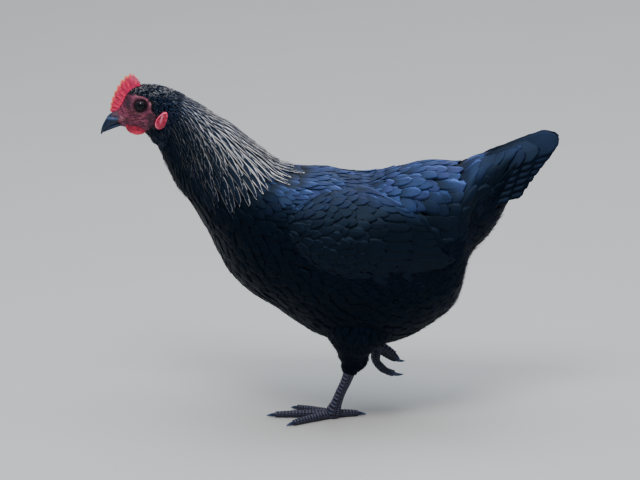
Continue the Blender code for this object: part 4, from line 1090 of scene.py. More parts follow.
def make_beak():
    """The two halves of the beak, lofted, with a ridge, a groove before each nostril and flared
    cutting edges."""
    at, turn = lattice(np.linspace(0, len(BEAK_UPPER) - 1.0, 90), circle(96))
    points = loft_point(BEAK_UPPER, at, turn, 0.0, -0.10)
    x, z = points[..., 0], points[..., 2]
    outside, off_x, off_z = np.sign(points[..., 1]), x - NOSTRIL_AT[0], z - NOSTRIL_AT[1]
    nostril = np.hypot(off_x / 2.3, off_z - 0.25 * off_x)
    flap = np.hypot((off_x - 0.8) / 3.4, (off_z - 1.7) / 1.7)
    dent = (1.5 * np.exp(-nostril ** 2 * 1.2) - 0.55 * np.exp(-flap ** 2)) * (at < 4)
    edge = smooth(-np.cos(turn), 0.45, 0.9) * smooth(at, 0.5, 2.0) * (1 - smooth(at, 4.5, 5.8))
    points[..., 1] += outside * (0.35 * edge - dent * smooth(np.abs(np.sin(turn)), 0.2, 0.7))
    # A painted bluish highlight in a line along the upper half's side; warm is the fleshy skin at its base.
    pale = 0.45 * bell(z, 325.6, 1.3) * smooth(x, -234.5, -230.5) * (1 - smooth(x, -215.0, -210.0))
    warm = 0.75 * smooth(z, 326.0, 327.6) * smooth(x, -229.5, -225.5)
    upper = put_part("beak_top", points, "beak_horn", pale, warm, 0.0)
    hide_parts("beak_upper")
    at, turn = lattice(np.linspace(0, len(BEAK_LOWER) - 1.0, 60), circle(64))
    points = loft_point(BEAK_LOWER, at, turn, 0.0, 0.1)
    # A painted highlight on the lower half's upper side; warm is its fleshy base.
    pale, warm = 0.5 * smooth(np.cos(turn), 0.3, 0.9), 0.6 * (1 - smooth(at, 0.3, 1.5))
    lower = put_part("beak_base", points, "beak_horn", pale, warm, 0.0)
    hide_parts("beak_lower")


def make_comb():
    """The single comb: between its root line and its notched edge, a blade that thins to the edge,
    with grooves from the root to each notch and grains all over."""
    share, loop = lattice(np.linspace(0, 1, 150), np.linspace(0, 1, 56, endpoint=False))
    reach = np.sin((1 - np.abs(2 * loop - 1)) * math.pi / 2)
    side = np.where(loop < 0.5, -1.0, 1.0)
    root = spline(COMB_ROOT, share * (len(COMB_ROOT) - 1))
    edge = spline(COMB_EDGE, share * (len(COMB_EDGE) - 1))
    tooth = COMB_POINTS * share ** 0.92 % 1.0
    wave = 1 - np.abs(2 * tooth - 1)
    notch = 1 - (0.09 + 0.05 * share) * (1 - wave ** 1.15)
    flat = root + (edge - root) * (reach * notch)[..., None]
    ends = np.clip(np.minimum(share, 1 - share) * 14, 0, 1) ** 0.5
    groove = 0.45 * (1 - wave) ** 2 * smooth(reach, 0.1, 0.5) * (1 - smooth(reach, 0.85, 1.0))
    half = (1.75 - 1.15 * reach) * np.sqrt(np.clip(1 - (reach * 0.985) ** 8, 0, 1)) * ends - groove * ends
    points = np.stack([flat[..., 0], side * np.maximum(half, 0.12), flat[..., 1]], -1)
    bumps = ripple(points, 1.9, SEED + 5) * 0.16 + ripple(points, 4.0, SEED + 6) * 0.14
    points[..., 1] += side * bumps * ends * (1 - smooth(reach, 0.9, 1.0))
    points[..., 1] += 1.2 * smooth(share, 0.3, 1.0) * reach ** 2 * np.sin(share * 5.0)
    pale = 0.55 * smooth(reach, 0.30, 0.95) * smooth(share, 0.62, 0.92) + 0.10 * smooth(reach, 0.9, 1.0)
    # The third mark darkens the grooves from the root to each notch: painted shade.
    fold = (1 - wave) ** 2 * smooth(reach, 0.15, 0.6) * (1 - smooth(reach, 0.9, 1.0)) * (1 - 0.5 * share)
    made = put_part("comb_blade", points, "comb_skin", reach, pale, fold)
    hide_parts("comb")


def flap_points(centre, half, thick, tilt, rim, fold, leaf):
    """A hanging flap of skin: an ellipse in the side view, narrower towards its top by the leaf
    share, whose two faces bulge as a lens, with a raised rim on the outer face and a wavy fold
    across it, turned by its tilt."""
    lean, turn = lattice(np.linspace(-1.5, 1.5, 44), circle(72))
    out = np.cos(lean)
    x, z = half[0] * out * np.cos(turn) * (1 - leaf * out * np.sin(turn)), half[1] * out * np.sin(turn)
    y = thick / 2 * np.sign(lean) * np.abs(np.sin(lean)) ** 0.7
    y = y + (lean > 0) * rim * bell(out, 0.82, 0.13) + fold * np.sin(3.4 * x / half[0] + 0.6)
    turned = math.radians(tilt)
    flat_x = x * math.cos(turned) + z * math.sin(turned)
    flat_z = z * math.cos(turned) - x * math.sin(turned)
    side = math.copysign(1.0, centre[1])
    points = np.stack([centre[0] + flat_x, centre[1] + side * y, centre[2] + flat_z], -1)
    return points, out, lean


def make_lappets():
    """Both wattles and both earlobes."""
    for side, label in SIDES:
        place = (WATTLE_AT[0], side * WATTLE_AT[1], WATTLE_AT[2])
        points, out, lean = flap_points(place, WATTLE_SIZE, 3.4, 12.0, 0.25, 0.35, 0.0)
        points = points + np.array([0.0, side, 0.0]) * (ripple(points, 2.6, SEED + 8) * 0.14)[..., None]
        # The wattle is darker red all over by its third mark, less at its lower rim; there the first mark
        # gives it a painted orange highlight.
        fold = 0.75 + 0.25 * smooth(ripple(points, 5.0, SEED + 9), -0.2, 0.8)
        low = smooth(WATTLE_AT[2] - points[..., 2], 2.0, 6.0)
        wattle = put_part("wattle_flap_" + label, points, "comb_skin", out * low, 0.0, fold * (1 - 0.7 * low))
        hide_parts("wattle_" + label)
        place = (LOBE_AT[0], side * LOBE_AT[1], LOBE_AT[2])
        points, out, lean = flap_points(place, LOBE_SIZE, 3.6, LOBE_TILT, 0.9, 0.2, 0.22)
        points = points + np.array([0.0, side, 0.0]) * (ripple(points, 2.2, SEED + 10) * 0.2)[..., None]
        off_x, off_z = points[..., 0] - LOBE_AT[0], points[..., 2] - LOBE_AT[2]
        uneven = smooth(ripple(points, 6.0, SEED + 11), -0.4, 0.7)
        rim = bell(out, 0.90, 0.07) * (0.25 + 0.75 * uneven)
        crease = bell(off_x - 0.25 * off_z, -0.8, 0.9) * smooth(off_z, -6.0, 1.0) * (out < 0.8)
        pale = np.clip(0.75 * rim + 0.55 * crease, 0, 0.8) * (lean > 0)
        fold = (0.70 + 0.3 * (1 - uneven)) * (out < 0.85)
        lobe = put_part("earlobe_flap_" + label, points, "comb_skin", 0.0, pale, fold)
        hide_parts("earlobe_" + label)


# Coat

def make_head_feathers(body):
    """Short dark feathers on the crown and cheeks, the ear tuft, and bristles over the bare face."""
    draw = np.random.default_rng(SEED + 20)
    laid = []
    a, b, share = spread(body, (1.6, NECK + 0.4), (0.0, TURN), (1.7, 2.6), (1.6, 2.3), draw, 0.3)
    place = body.read(a, b)[0]
    x, z = place[:, 0], place[:, 2]
    bald = face_share(x, z) + draw.uniform(-0.05, 0.05, len(a))
    comb_near = (from_back(b) < 0.22) & (x < -197.0)
    keep = ((bald > 1.0) | (ear_share(x, z) < 0.95)) & ~comb_near & (x > -216.0)
    a, b, share, x, z = a[keep], b[keep], share[keep], x[keep], z[keep]
    count = len(a)
    crown = smooth(z, 350.0, 356.0)
    length = (2.6 + 2.6 * share) * draw.uniform(0.8, 1.25, count)
    half = (0.75 + 0.55 * share) * draw.uniform(0.85, 1.15, count)
    run = in_units(body, a, b, length)
    high = 0.35 + 0.5 * draw.uniform(0, 1, count)
    vanes = lay_feathers(body, TINY, a, b, run, half, -0.8, high, seed=SEED + 21)
    silver = (draw.uniform(0, 1, count) > 0.50) * (0.15 + 0.80 * crown) * draw.uniform(0.5, 1.0, count)
    laid.append((vanes, coat_map(a, b), marks_of(draw, count, silver, 0.2)))
    a, b, _ = spread(body, (1.2, 8.0), (0.0, TURN), (1.9, 1.9), (1.8, 1.8), draw, 0.5)
    place = body.read(a, b)[0]
    x, z = place[:, 0], place[:, 2]
    from_eye = np.hypot(x - EYE_AT[0], z - EYE_AT[1])
    keep = (face_share(x, z) < 1.0) & (from_eye > 10.0) & (draw.uniform(0, 1, len(a)) < 0.30) & (z > 316.0)
    a, b = a[keep], b[keep]
    count = len(a)
    run = in_units(body, a, b, draw.uniform(1.4, 2.6, count))
    vanes = lay_feathers(body, WISP, a, b, run, 0.16, -0.3, draw.uniform(0.3, 0.8, count), seed=SEED + 22)
    laid.append((vanes, coat_map(a, b) + 0.0015, marks_of(draw, count, 0.0, 0.0)))
    put_feathers("coat_head", laid, "hackle_plumage")


def hackle_end(turn):
    """The station where the hackle's tips lie, from the back round to the throat."""
    round_ = from_back(turn)
    return NECK + 8.7 - 1.1 * smooth(round_, 0.2, 1.1) - 2.2 * smooth(round_, 1.7, 2.9)


def saddle_end(turn):
    """The station where the saddle's tips lie: further back on the flank than on top."""
    return 26.8 + 3.6 * smooth(from_back(turn), 0.2, 1.7)


def facing_up(sheet, a, b, low=0.05, high=0.85):
    """How much painted sky sheen a feather gets there: 0 where the sheet faces sideways or down and 1 where
    it faces up."""
    return smooth(sheet.read(a, b)[1][..., 2], low, high)


def make_hackle(body, sizes):
    """The hackle: pointed feathers with silver edges that fan out from the nape to the shoulders."""
    draw = np.random.default_rng(SEED + 30)
    long, wide = sizes.hackle_length / MM, sizes.hackle_width / MM
    a, b, share = spread(body, (NECK - 1.2, NECK + 7.2), (0.0, TURN), (3.6, 9.6), (2.9, 8.8), draw,
                         0.16)
    length = (8.5 + (long - 8.5) * share ** 0.9) * draw.uniform(0.90, 1.10, len(a))
    length = length * (1 - 0.25 * smooth(from_back(b), 2.0, 3.1))
    run = in_units(body, a + 0.3, b, length)
    keep = a + run < hackle_end(b) + draw.uniform(-0.35, 0.15, len(a))
    keep &= ear_share(*body.read(a, b)[0][:, [0, 2]].T) > 0.9
    a, b, share, run = a[keep], b[keep], share[keep], run[keep]
    count = len(a)
    round_ = from_back(b)
    half = (1.8 + (wide - 1.8) * share ** 0.8) * draw.uniform(0.9, 1.1, count)
    high = 0.1 + draw.uniform(-0.1, 0.5, count)
    skew = 0.20 * np.sin(b) * smooth(share, 0.0, 0.3) + draw.normal(0, 0.02, count)
    vanes = lay_feathers(body, LANCE, a, b, run, half, -2.4, high, skew, draw.normal(0, 0.2, count),
                         SEED + 31)
    top = 1 - smooth(round_, 0.65, 1.45)
    low = 1 - smooth(round_, 1.45, 2.3)
    silver = (0.45 + 0.55 * smooth(share, 0.05, 0.40)) * (0.76 * top + 0.25 * low)
    silver = silver * draw.uniform(0.7, 1.15, count) + 0.35 * smooth(share, 0.72, 0.95) * low
    # Painted sky sheen, more where the neck faces up.
    painted_sheen = 0.05 + 0.18 * facing_up(body, a, b)
    laid = [(vanes, coat_map(a, b), marks_of(draw, count, np.clip(silver, 0, 1), painted_sheen))]
    put_feathers("coat_hackle", laid, "hackle_plumage")


def make_body_feathers(body, sizes):
    """Rounded feathers of breast, back, saddle and belly, longer to the rear, loose at the vent, and
    the long coverts that run from under the saddle on to the tail."""
    draw = np.random.default_rng(SEED + 40)
    long, wide = sizes.body_length / MM, sizes.body_width / MM
    tracts = (      # name, form, stations, turns, space between rows, gap in a row, scale at both ends
        ("coat_breast", OVAL, (NECK + 2.2, NECK + 12.0), (1.05, TURN - 1.05),
         (7.5, 10.0), (8.0, 10.5), (1.05, 1.25)),
        ("coat_back", OVAL, (NECK + 6.2, NECK + 12.2), (-1.2, 1.2), (9.0, 11.0), (7.2, 8.6), (1.05, 1.3)),
        ("coat_saddle", ROUND, (NECK + 11.6, 28.4), (-1.6, 1.6), (11.5, 14.0), (11.0, 15.5), (1.3, 2.0)),
        ("coat_flank", OVAL, (NECK + 11.6, RUMP + 1.4), (1.45, TURN - 1.45),
         (9.5, 9.0), (10.5, 10.0), (1.2, 1.15)),
        ("coat_covert", BROAD, (25.5, 28.9), (-1.75, 1.75), (11.0, 12.0), (12.5, 12.5), (2.1, 2.2)),
    )
    for number, (name, form, a_range, b_range, spacing, gap, scales) in enumerate(tracts):
        a, b, share = spread(body, a_range, b_range, spacing, gap, draw, 0.2)
        scale = scales[0] + (scales[1] - scales[0]) * share
        length = long * scale * draw.uniform(0.9, 1.1, len(a))
        run = np.minimum(in_units(body, a, b, length), 31.8 - a)
        keep = np.ones(len(a), bool)
        if name in ("coat_breast", "coat_back"):
            keep = a > hackle_end(b) - 2.6
        if name == "coat_saddle":
            keep = a + run < saddle_end(b) + draw.uniform(-0.3, 0.3, len(a))
        a, b, run, scale = a[keep], b[keep], run[keep], scale[keep]
        count = len(a)
        half = wide * (0.5 + 0.5 * scale) * draw.uniform(0.92, 1.08, count)
        if name == "coat_back":
            half = half * 0.80
        if name == "coat_covert":
            half = 10.5
        top = draw.uniform(-0.15, 0.2, count) - 1.5 * (1 - smooth(a - hackle_end(b), -1.4, -0.2))
        low = -1.4
        if name == "coat_flank":
            top = top + draw.uniform(0, 0.8, count) * smooth(a, NECK + 14.0, NECK + 18.0)
        if name == "coat_covert":
            low, top = low - 1.6, top - 1.6
        skew = draw.normal(0, 0.02, count) + 0.16 * np.sin(b) * (name == "coat_saddle")
        vanes = lay_feathers(body, form, a, b, run, half, low, top, skew, draw.normal(0, 0.3, count),
                             SEED + 41 + number)
        # Painted sky sheen where the coat faces up, and on the back, saddle and coverts a painted highlight
        # on each feather's edge that faces the back.
        upper = facing_up(body, a, b, 0.25, 0.95)
        glossy_with_painted_sheen = name in ("coat_back", "coat_saddle", "coat_covert")
        painted_sheen = (0.04 + (0.45 if name == "coat_covert" else 0.90) * upper) if glossy_with_painted_sheen else 0.02 + 0.40 * upper
        painted_highlight = (0.15 + 0.85 * upper) * np.sign(np.sin(b)) * draw.uniform(0.3, 1.0, count) * glossy_with_painted_sheen
        laid = [(vanes, coat_map(a, b), marks_of(draw, count, painted_highlight, painted_sheen))]
        put_feathers(name, laid, "black_plumage", "glossy_plumage" if glossy_with_painted_sheen else None)


def make_fluff(body):
    """Fine wisps that soften the belly, the vent and the rump."""
    draw = np.random.default_rng(SEED + 60)
    a, b, _ = spread(body, (NECK + 13.0, RUMP + 1.0), (1.45, TURN - 1.45), (3.5, 3.2), (3.5, 3.4), draw, 0.5)
    count = len(a)
    run = in_units(body, a, b, draw.uniform(9.0, 15.0, count))
    rear = smooth(a, NECK + 15.0, NECK + 18.5)
    high = 0.4 + (0.6 + 2.2 * rear) * draw.uniform(0, 1, count)
    skew = draw.normal(0, 0.05, count)
    half = draw.uniform(0.28, 0.5, count)
    vanes = lay_feathers(body, WISP, a, b, run, half, -2.5, high, skew, 0.0, SEED + 61)
    laid = [(vanes, coat_map(a, b), marks_of(draw, count, 0.0, 0.25))]
    put_feathers("coat_fluff", laid, "black_plumage")


def make_wings():
    """Each folded wing: long flight feathers, long coverts over their bases and the scaly small ones."""
    for side, label in SIDES:
        draw = np.random.default_rng(SEED + 70 + side)
        wing = wing_sheet(side)
        laid = []

        def tier(form, p, q, run, half, low, high, tilt):
            count = len(p)
            vanes = lay_feathers(wing, form, p, q, run, half, low, high, draw.normal(0, 0.02, count), tilt,
                                 SEED + 71 + len(laid))
            roots = np.stack([0.03 + 0.9 * p / 4.2, 0.03 + 0.9 * q / 4.2], -1)
            end = p + run
            # Painted sky sheen along the upper edge, and a painted highlight on the upper rear feathers.
            upper = 1 - smooth(q, 0.2, 1.4)
            painted_sheen = 0.03 + 0.50 * upper
            painted_highlight = (1 - smooth(q, 0.2, 1.5)) * smooth(end, 1.6, 3.2) + 0.20 * upper
            laid.append((vanes, roots, marks_of(draw, count, painted_highlight * draw.uniform(0.5, 1.0, count), painted_sheen)))

        for count, begin, reach, low, high in ((13, 1.9, 3.96, -3.4, -1.9), (11, 1.6, 3.35, -2.9, -0.9)):
            q = np.linspace(3.85, 0.15, count)
            over = np.linspace(0, 1.3, count)
            start = begin + draw.uniform(-0.15, 0.15, count)
            end = reach - draw.uniform(0, 0.14, count)
            tier(BROAD, start, q, end - start, 9.5, low + over, high + over, 0.3)
        p, q, share = spread(wing, (0.0, 2.35), (0.0, 4.0), (7.0, 12.0), (7.5, 11.0), draw, 0.2)
        count = len(p)
        run = in_units(wing, p, q, (15.0 + 14.0 * share) * draw.uniform(0.85, 1.15, count))
        half = (5.4 + 3.6 * share) * draw.uniform(0.92, 1.08, count)
        tier(OVAL, p, q, run, half, -1.4, 0.1 + draw.uniform(-0.15, 0.15, count), draw.normal(0, 0.15, count))
        put_feathers("coat_wing_" + label, laid, "black_plumage", "glossy_plumage")


def plume(root, tip, side, out, lean, half, form, seed):
    """One large feather in the open: a straight line from root to tip in the side view, with its
    vane across it leaning outward, cambered and closed underneath."""
    draw = np.random.default_rng(seed)
    share, across = form.share[:, None], form.across[None, :]
    line = root + (tip - root) * share
    centre = np.stack([line[:, 0], side * (out[0] + (out[1] - out[0]) * share[:, 0]), line[:, 1]], -1)
    ahead = unit(centre[-1] - centre[0])
    down = unit(np.array([ahead[2], 0.0, -ahead[0]]))
    turned = math.radians(lean)
    wide = down * math.cos(turned) + np.array([0.0, side * math.sin(turned), 0.0])
    off = np.cross(ahead, wide)
    off = off * math.copysign(1.0, off[1] * side)
    width = half * form.width * (1 + 0.012 * draw.normal(size=len(form.share)))
    curve = form.camber * half * (1 - across ** 2) * form.width[:, None]
    top = centre[:, None] + wide * (width[:, None] * across)[..., None] + off * curve[..., None]
    thick = form.thick * (1 - 0.7 * share[:, 0])
    under = centre + off * (form.camber * half * form.width - thick)[:, None]
    loop = np.concatenate([top, under[:, None]], 1)
    end = centre[-1] + ahead * half * 0.18
    return loop, loop[0].mean(0), end


def make_tail(sizes):
    """The tail: seven pairs of broad feathers like the sides of a tent, and two tiers of coverts
    that close over its base."""
    wide = sizes.tail_width / MM
    form = Form(26, 9, (0.52, 0.74, 0.88, 0.95, 1.0, 1.0, 0.97, 0.42), camber=0.035, thick=0.6)
    cover = Form(16, 9, (0.50, 0.76, 0.92, 1.0, 1.0, 0.94, 0.36), camber=0.05, thick=0.55)
    laid = []
    draw = np.random.default_rng(SEED + 90)
    groups = []
    for side in (LEFT, RIGHT):
        loops = []
        for i, (root, tip) in enumerate(zip(TAIL_ROOTS, TAIL_TIPS)):
            out = (TAIL_RIDGE + TAIL_STEP[0] * i, TAIL_RIDGE + TAIL_STEP[1] * i)
            loops.append(plume(root, tip, side, out, TAIL_LEAN, wide, form, SEED + 91 + i))
        groups.append((form, loops))
        for tier, (back, reach) in enumerate(((0.0, 52.0), (-8.0, 47.0))):
            loops = []
            for j in range(TAIL_COVERTS):
                share = (j + 0.5 * tier) / (TAIL_COVERTS - 0.5)
                root = np.array([164.0 + back, 279.5 - 34.0 * share])
                tip = root + np.array([reach - 15.0 * share, 0.27 * reach - 5.0 * share])
                out = (9.0 + 9.5 * share + 1.6 * tier, 9.5 + 10.0 * share + 1.8 * tier)
                loops.append(plume(root, tip, side, out, TAIL_LEAN + 2.0, 13.0, cover, SEED + 100 + j))
            groups.append((cover, loops))
    for number, (shape, loops) in enumerate(groups):
        vanes = pack_loops(*(np.stack(part) for part in zip(*loops)), shape.across)
        order = np.arange(len(loops))
        roots = np.stack([np.full(len(loops), 0.1 + 0.12 * number), 0.1 + 0.1 * order], -1)
        # Painted sky sheen, more on the upper feathers.
        painted_sheen = np.linspace(0.22, 0.14, len(loops))
        laid.append((vanes, roots, marks_of(draw, len(loops), 0.0, painted_sheen)))
    put_feathers("coat_tail", laid, "black_plumage", "glossy_plumage")


def make_thighs():
    """Feathers down each thigh, smaller towards the hock, with wisps between them."""
    for side, rows in THIGHS.items():
        draw = np.random.default_rng(SEED + 110 + len(rows))
        last = len(rows) - 1.0
        at, turn = lattice(np.linspace(0, last, 61), circle(64))
        leg = Sheet(tube_point(rows, at, turn, LEG_FRONT), (0.0, last), (0.0, TURN), closed=True)
        a, b, share = spread(leg, (0.15, last - 0.35), (0.0, TURN), (8.0, 4.0), (8.5, 4.6), draw, 0.2)
        count = len(a)
        run = in_units(leg, a, b, (20.0 - 11.0 * share) * draw.uniform(0.9, 1.1, count))
        run = np.minimum(run, last + 0.02 - a)
        half = (6.0 - 3.2 * share) * draw.uniform(0.9, 1.1, count)
        high = 0.1 + draw.uniform(-0.2, 0.3, count)
        vanes = lay_feathers(leg, OVAL, a, b, run, half, -1.9, high, draw.normal(0, 0.03, count),
                             draw.normal(0, 0.2, count), SEED + 111)
        roots = np.stack([0.03 + 0.4 * a / last, 0.03 + 0.9 * (b / TURN % 1.0)], -1)
        laid = [(vanes, roots, marks_of(draw, count, 0.0, 0.05))]
        a, b, share = spread(leg, (0.5, last - 0.3), (0.0, TURN), (3.2, 2.4), (3.4, 2.6), draw, 0.4)
        count = len(a)
        length = draw.uniform(6.0, 11.0, count) * (1 - 0.4 * share)
        run = np.minimum(in_units(leg, a, b, length), last + 0.05 - a)
        high = 0.3 + draw.uniform(0, 1.2, count)
        half = draw.uniform(0.25, 0.42, count)
        vanes = lay_feathers(leg, WISP, a, b, run, half, -1.5, high, seed=SEED + 112)
        roots = np.stack([0.5 + 0.4 * a / last, 0.03 + 0.9 * (b / TURN % 1.0)], -1)
        laid.append((vanes, roots, marks_of(draw, count, 0.0, 0.05)))
        put_feathers("coat_thigh_" + side, laid, "black_plumage")


# Legs

def scutes(run, turn, long, front):
    """Relief, shade, seam and raised edge of overlapping plates; the raised edge is where the colour gets a
    painted highlight. Round the limb go two broad front plates and small ones behind; along it each climbs to
    its lower edge and drops there."""
    angle = (turn + math.pi) % TURN - math.pi
    on_front = 1 - smooth(np.abs(angle), front, front + 0.12)
    broad_cell = (angle > 0).astype(float)
    fine_step = 0.62
    fine_cell = np.floor(angle / fine_step)
    fine_edge = np.abs(angle / fine_step - np.round(angle / fine_step)) * fine_step
    broad_edge = np.minimum(np.abs(angle), np.abs(np.abs(angle) - front - 0.06))
    relief, shade, seam, edge = (np.zeros_like(run) for _ in range(4))
    plates = ((on_front, broad_cell, broad_edge, long), (1 - on_front, fine_cell + 5, fine_edge, long * 0.55))
    for part, cell, gap, size in plates:
        at = run / size + 0.5 * (cell % 2)
        share = at - np.floor(at)
        number = np.floor(at) * 7.0 + cell * 3.0
        climb = share ** 1.3 * (1 - smooth(share, 0.90, 1.0))
        side_drop = smooth(gap, 0.0, 0.16)
        relief = relief + part * (0.62 * climb * side_drop + 0.1 * side_drop) * size / 4.4
        shade = shade + part * (0.5 + 0.5 * np.sin(number * 12.9898))
        cut = 1 - smooth(np.minimum(share, 1 - share), 0.01, 0.07)
        seam = seam + part * np.maximum(1 - smooth(gap, 0.02, 0.08), cut)
        # Where a plate's colour gets its painted highlight.
        raised = smooth(share, 0.45, 0.85) * (1 - smooth(share, 0.9, 0.97))
        edge = edge + part * raised * smooth(gap, 0.05, 0.2)
    return relief, shade, seam * 0.85, edge


def limb(rows, count, columns, up, long, front, cushion=0.0):
    """A scaly limb as a closed shell with its marks; cushion rounds its underside into pads."""
    at, turn = lattice(np.linspace(0, len(rows) - 1.0, count), circle(columns))
    way = way_along(spline(rows, at[:, 0])[:, :3])
    run = way[:, None] + 0 * turn
    relief, shade, seam, edge = scutes(run, turn, long, front)
    ends = smooth(np.minimum(at, len(rows) - 1.0 - at), 0.0, 0.12)
    pads = cushion * np.clip(-np.cos(turn), 0, 1) * (0.5 - 0.5 * np.cos(TURN * run / 14.0))
    points = tube_point(rows, at, turn, up, (relief * (np.cos(turn) > -0.9) - 0.25) * ends + pads)
    return tube_shell(points), point_marks(shade, seam, edge)


def flat_toes():
    """The paths of the standing foot's toes: straight out from the foot at their headings, at the
    height of their own radius so that they rest on the floor."""
    start = SHANKS["left"][-1, :2]
    toes = {}
    for toe, (length, heading) in TOES_FLAT.items():
        turned = math.radians(heading)
        share = np.array([0.0, 0.3, 0.65, 1.0])
        radii = TOE_RADIUS[0] + (TOE_RADIUS[1] - TOE_RADIUS[0]) * share
        flat = start + np.array([-math.cos(turned), -math.sin(turned)]) * (length * share)[:, None]
        toes[toe] = np.column_stack([flat, radii * 0.92 + 0.5 * np.sin(share * math.pi)])
    return toes


def make_claw(name, base, ahead, up, droop):
    """A curved claw: a tapering tube, narrower sideways than high, that bends down by the square of its
    share.
    """
    share = np.linspace(0, 1, 6)
    down = -unit(up - ahead * np.dot(up, ahead))
    reach = (CLAW_LENGTH + 1.5) * share * (1 - 0.12 * share)
    centre = base - ahead * 1.5 + ahead * reach[:, None] + down * (droop * share ** 2)[:, None]
    radius = CLAW_RADIUS * (1 - share) ** 0.7 + 0.18
    rows = np.column_stack([centre, radius, radius * 0.82])
    at, turn = lattice(np.linspace(0, 5.0, 30), circle(24))
    points = tube_point(rows, at, turn, -down)
    made = put_part(name + "_sheath", points, "claw_horn", 0.8 * smooth(at, 1.5, 4.5), 0.0, 0.0)
    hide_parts(name)


def make_legs(sizes):
    """Both scaly legs: shank and ball in one tube, four toes, and a claw on each toe."""
    long = sizes.scute_length / MM
    for side in ("left", "right"):
        shells, marks = [], []
        shell, mark = limb(SHANKS[side], 260 if side == "left" else 130, 84, LEG_FRONT, long, 1.5)
        shells.append(shell)
        marks.append(mark)
        toes = flat_toes() if side == "left" else TOES_HUNG
        for toe, path in toes.items():
            up = np.array((-0.75, 0.0, -0.65))
            if side == "left" or toe == "hind":
                up = np.array((0.0 if side == "left" else 0.3, 0.0, 1.0))
            radii = np.linspace(TOE_RADIUS[0], TOE_RADIUS[1], len(path))
            rows = np.column_stack([path, radii, radii * 0.94])
            shell, mark = limb(rows, 150, 52, up, long * 0.8, 1.25, cushion=0.5 if side == "right" else 0.0)
            if side == "left":
                shell[0][:, 2] = np.maximum(shell[0][:, 2], 0.05)
            shells.append(shell)
            marks.append(mark)
            make_claw("claw_" + side + "_" + toe, path[-1], unit(path[-1] - path[-2]), up, CLAW_DROOP[side])
        if side == "left":
            shells[0][0][:, 2] = np.maximum(shells[0][0][:, 2], 0.05)
        made = put_mesh("leg_" + side, shells, "leg_scale", marks)
        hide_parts("shank_" + side, "foot_" + side)


# Stage

VIEW_LIFT = 16.0               # degrees that the camera looks down
VIEW_FAR = 9.0                 # metres from the camera to the hen
VIEW_WIDE = 0.669              # metres across the picture at the hen
VIEW_AT = (-0.0105, 0.0, 0.1926)
FLOOR_REACH = 12.0             # metres of flat floor from the hen
FLOOR_CURVE = 1.6              # radius of the curve behind it
FLOOR_SIDES = 96               # points in each of its rings


def make_camera():
    """A long lens at the photograph's angle, level with its frame."""
    lens = bpy.data.cameras.new("view")
    lens.sensor_width = 36.0
    lens.lens = 36.0 * VIEW_FAR / VIEW_WIDE
    camera = bpy.data.objects.new("view", lens)
    lift = math.radians(VIEW_LIFT)
    camera.location = Vector(VIEW_AT) + VIEW_FAR * Vector((0.0, -math.cos(lift), math.sin(lift)))
    camera.rotation_euler = (math.pi / 2 - lift, 0.0, 0.0)
    bpy.context.scene.collection.objects.link(camera)
    bpy.context.scene.camera = camera


def make_light(name, place, aim, size, power, colour):
    """A soft box that faces its aim."""
    lamp = bpy.data.lights.new(name, "AREA")
    lamp.shape = "RECTANGLE"
    lamp.size, lamp.size_y = size
    lamp.energy = power
    lamp.color = colour
    made = bpy.data.objects.new(name, lamp)
    made.location = place
    made.rotation_euler = (Vector(aim) - Vector(place)).to_track_quat("-Z", "Y").to_euler()
    bpy.context.scene.collection.objects.link(made)


def make_stage(colours):
    """The floor, a disc that curves up far behind, soft lights and a pale sky."""
    bend = np.linspace(0.05, 1.5, 24)
    reach = np.append(np.linspace(0.05, FLOOR_REACH, 40), FLOOR_REACH + FLOOR_CURVE * np.sin(bend))[:, None]
    climb = np.append(np.zeros(40), FLOOR_CURVE * (1 - np.cos(bend)))[:, None]
    turn = circle(FLOOR_SIDES)
    points = np.stack([reach * np.cos(turn), reach * np.sin(turn), climb + 0 * turn], -1)
    quads = grid_faces(*points.shape[:2], True)[:, ::-1]
    side = np.arange(FLOOR_SIDES)
    fan = np.stack([side, (side + 1) % FLOOR_SIDES, np.full(FLOOR_SIDES, reach.size * FLOOR_SIDES)], -1)
    mesh = bpy.data.meshes.new("studio_floor")
    mesh.from_pydata([*points.reshape(-1, 3).tolist(), (0.0, 0.0, 0.0)], [], quads.tolist() + fan.tolist())
    mesh.polygons.foreach_set("use_smooth", np.ones(len(mesh.polygons), bool))
    mesh.materials.append(finish_named("studio_floor"))
    floor = bpy.data.objects.new("studio_floor", mesh)
    bpy.context.scene.collection.objects.link(floor)
    world = bpy.data.worlds.new("pale_sky")
    world.use_nodes = True
    world.node_tree.nodes["Background"].inputs[0].default_value = (0.80, 0.88, 1.0, 1.0)
    world.node_tree.nodes["Background"].inputs[1].default_value = 0.50
    bpy.context.scene.world = world
    make_light("sky_panel", (0.1, 0.1, 2.3), (0.0, 0.0, 0.2), (2.4, 2.0), 56.0, (0.86, 0.92, 1.0))
    make_light("front_panel", (-0.3, -1.3, 2.1), (-0.10, 0.0, 0.25), (0.9, 0.7), 40.0, (1.0, 0.97, 0.95))
    make_light("back_panel", (0.9, 2.2, 1.6), (0.0, 0.6, 0.0), (2.0, 1.0), 14.0, (0.95, 0.97, 1.0))


# Operators

class HenOperator:
    """What the hen's operators share."""

    bl_options = {"REGISTER", "UNDO"}

    def execute(self, context):
        """Build with the scene's sizes and colours."""
        self.build(context.scene.hen_sizes, context.scene.hen_colours)
        return {"FINISHED"}


class HEN_OT_skin(HenOperator, bpy.types.Operator):
    """Skin of the head, body, wings and thighs, with the eyelids"""
    bl_idname = "hen.skin"
    bl_label = "Skin"

    def build(self, sizes, colours):
        make_skin()
        make_lids()


class HEN_OT_head(HenOperator, bpy.types.Operator):
    """Eyes, beak, comb, wattles and earlobes"""
    bl_idname = "hen.head"
    bl_label = "Head"

    def build(self, sizes, colours):
        make_eyes()
        make_beak()
        make_comb()
        make_lappets()


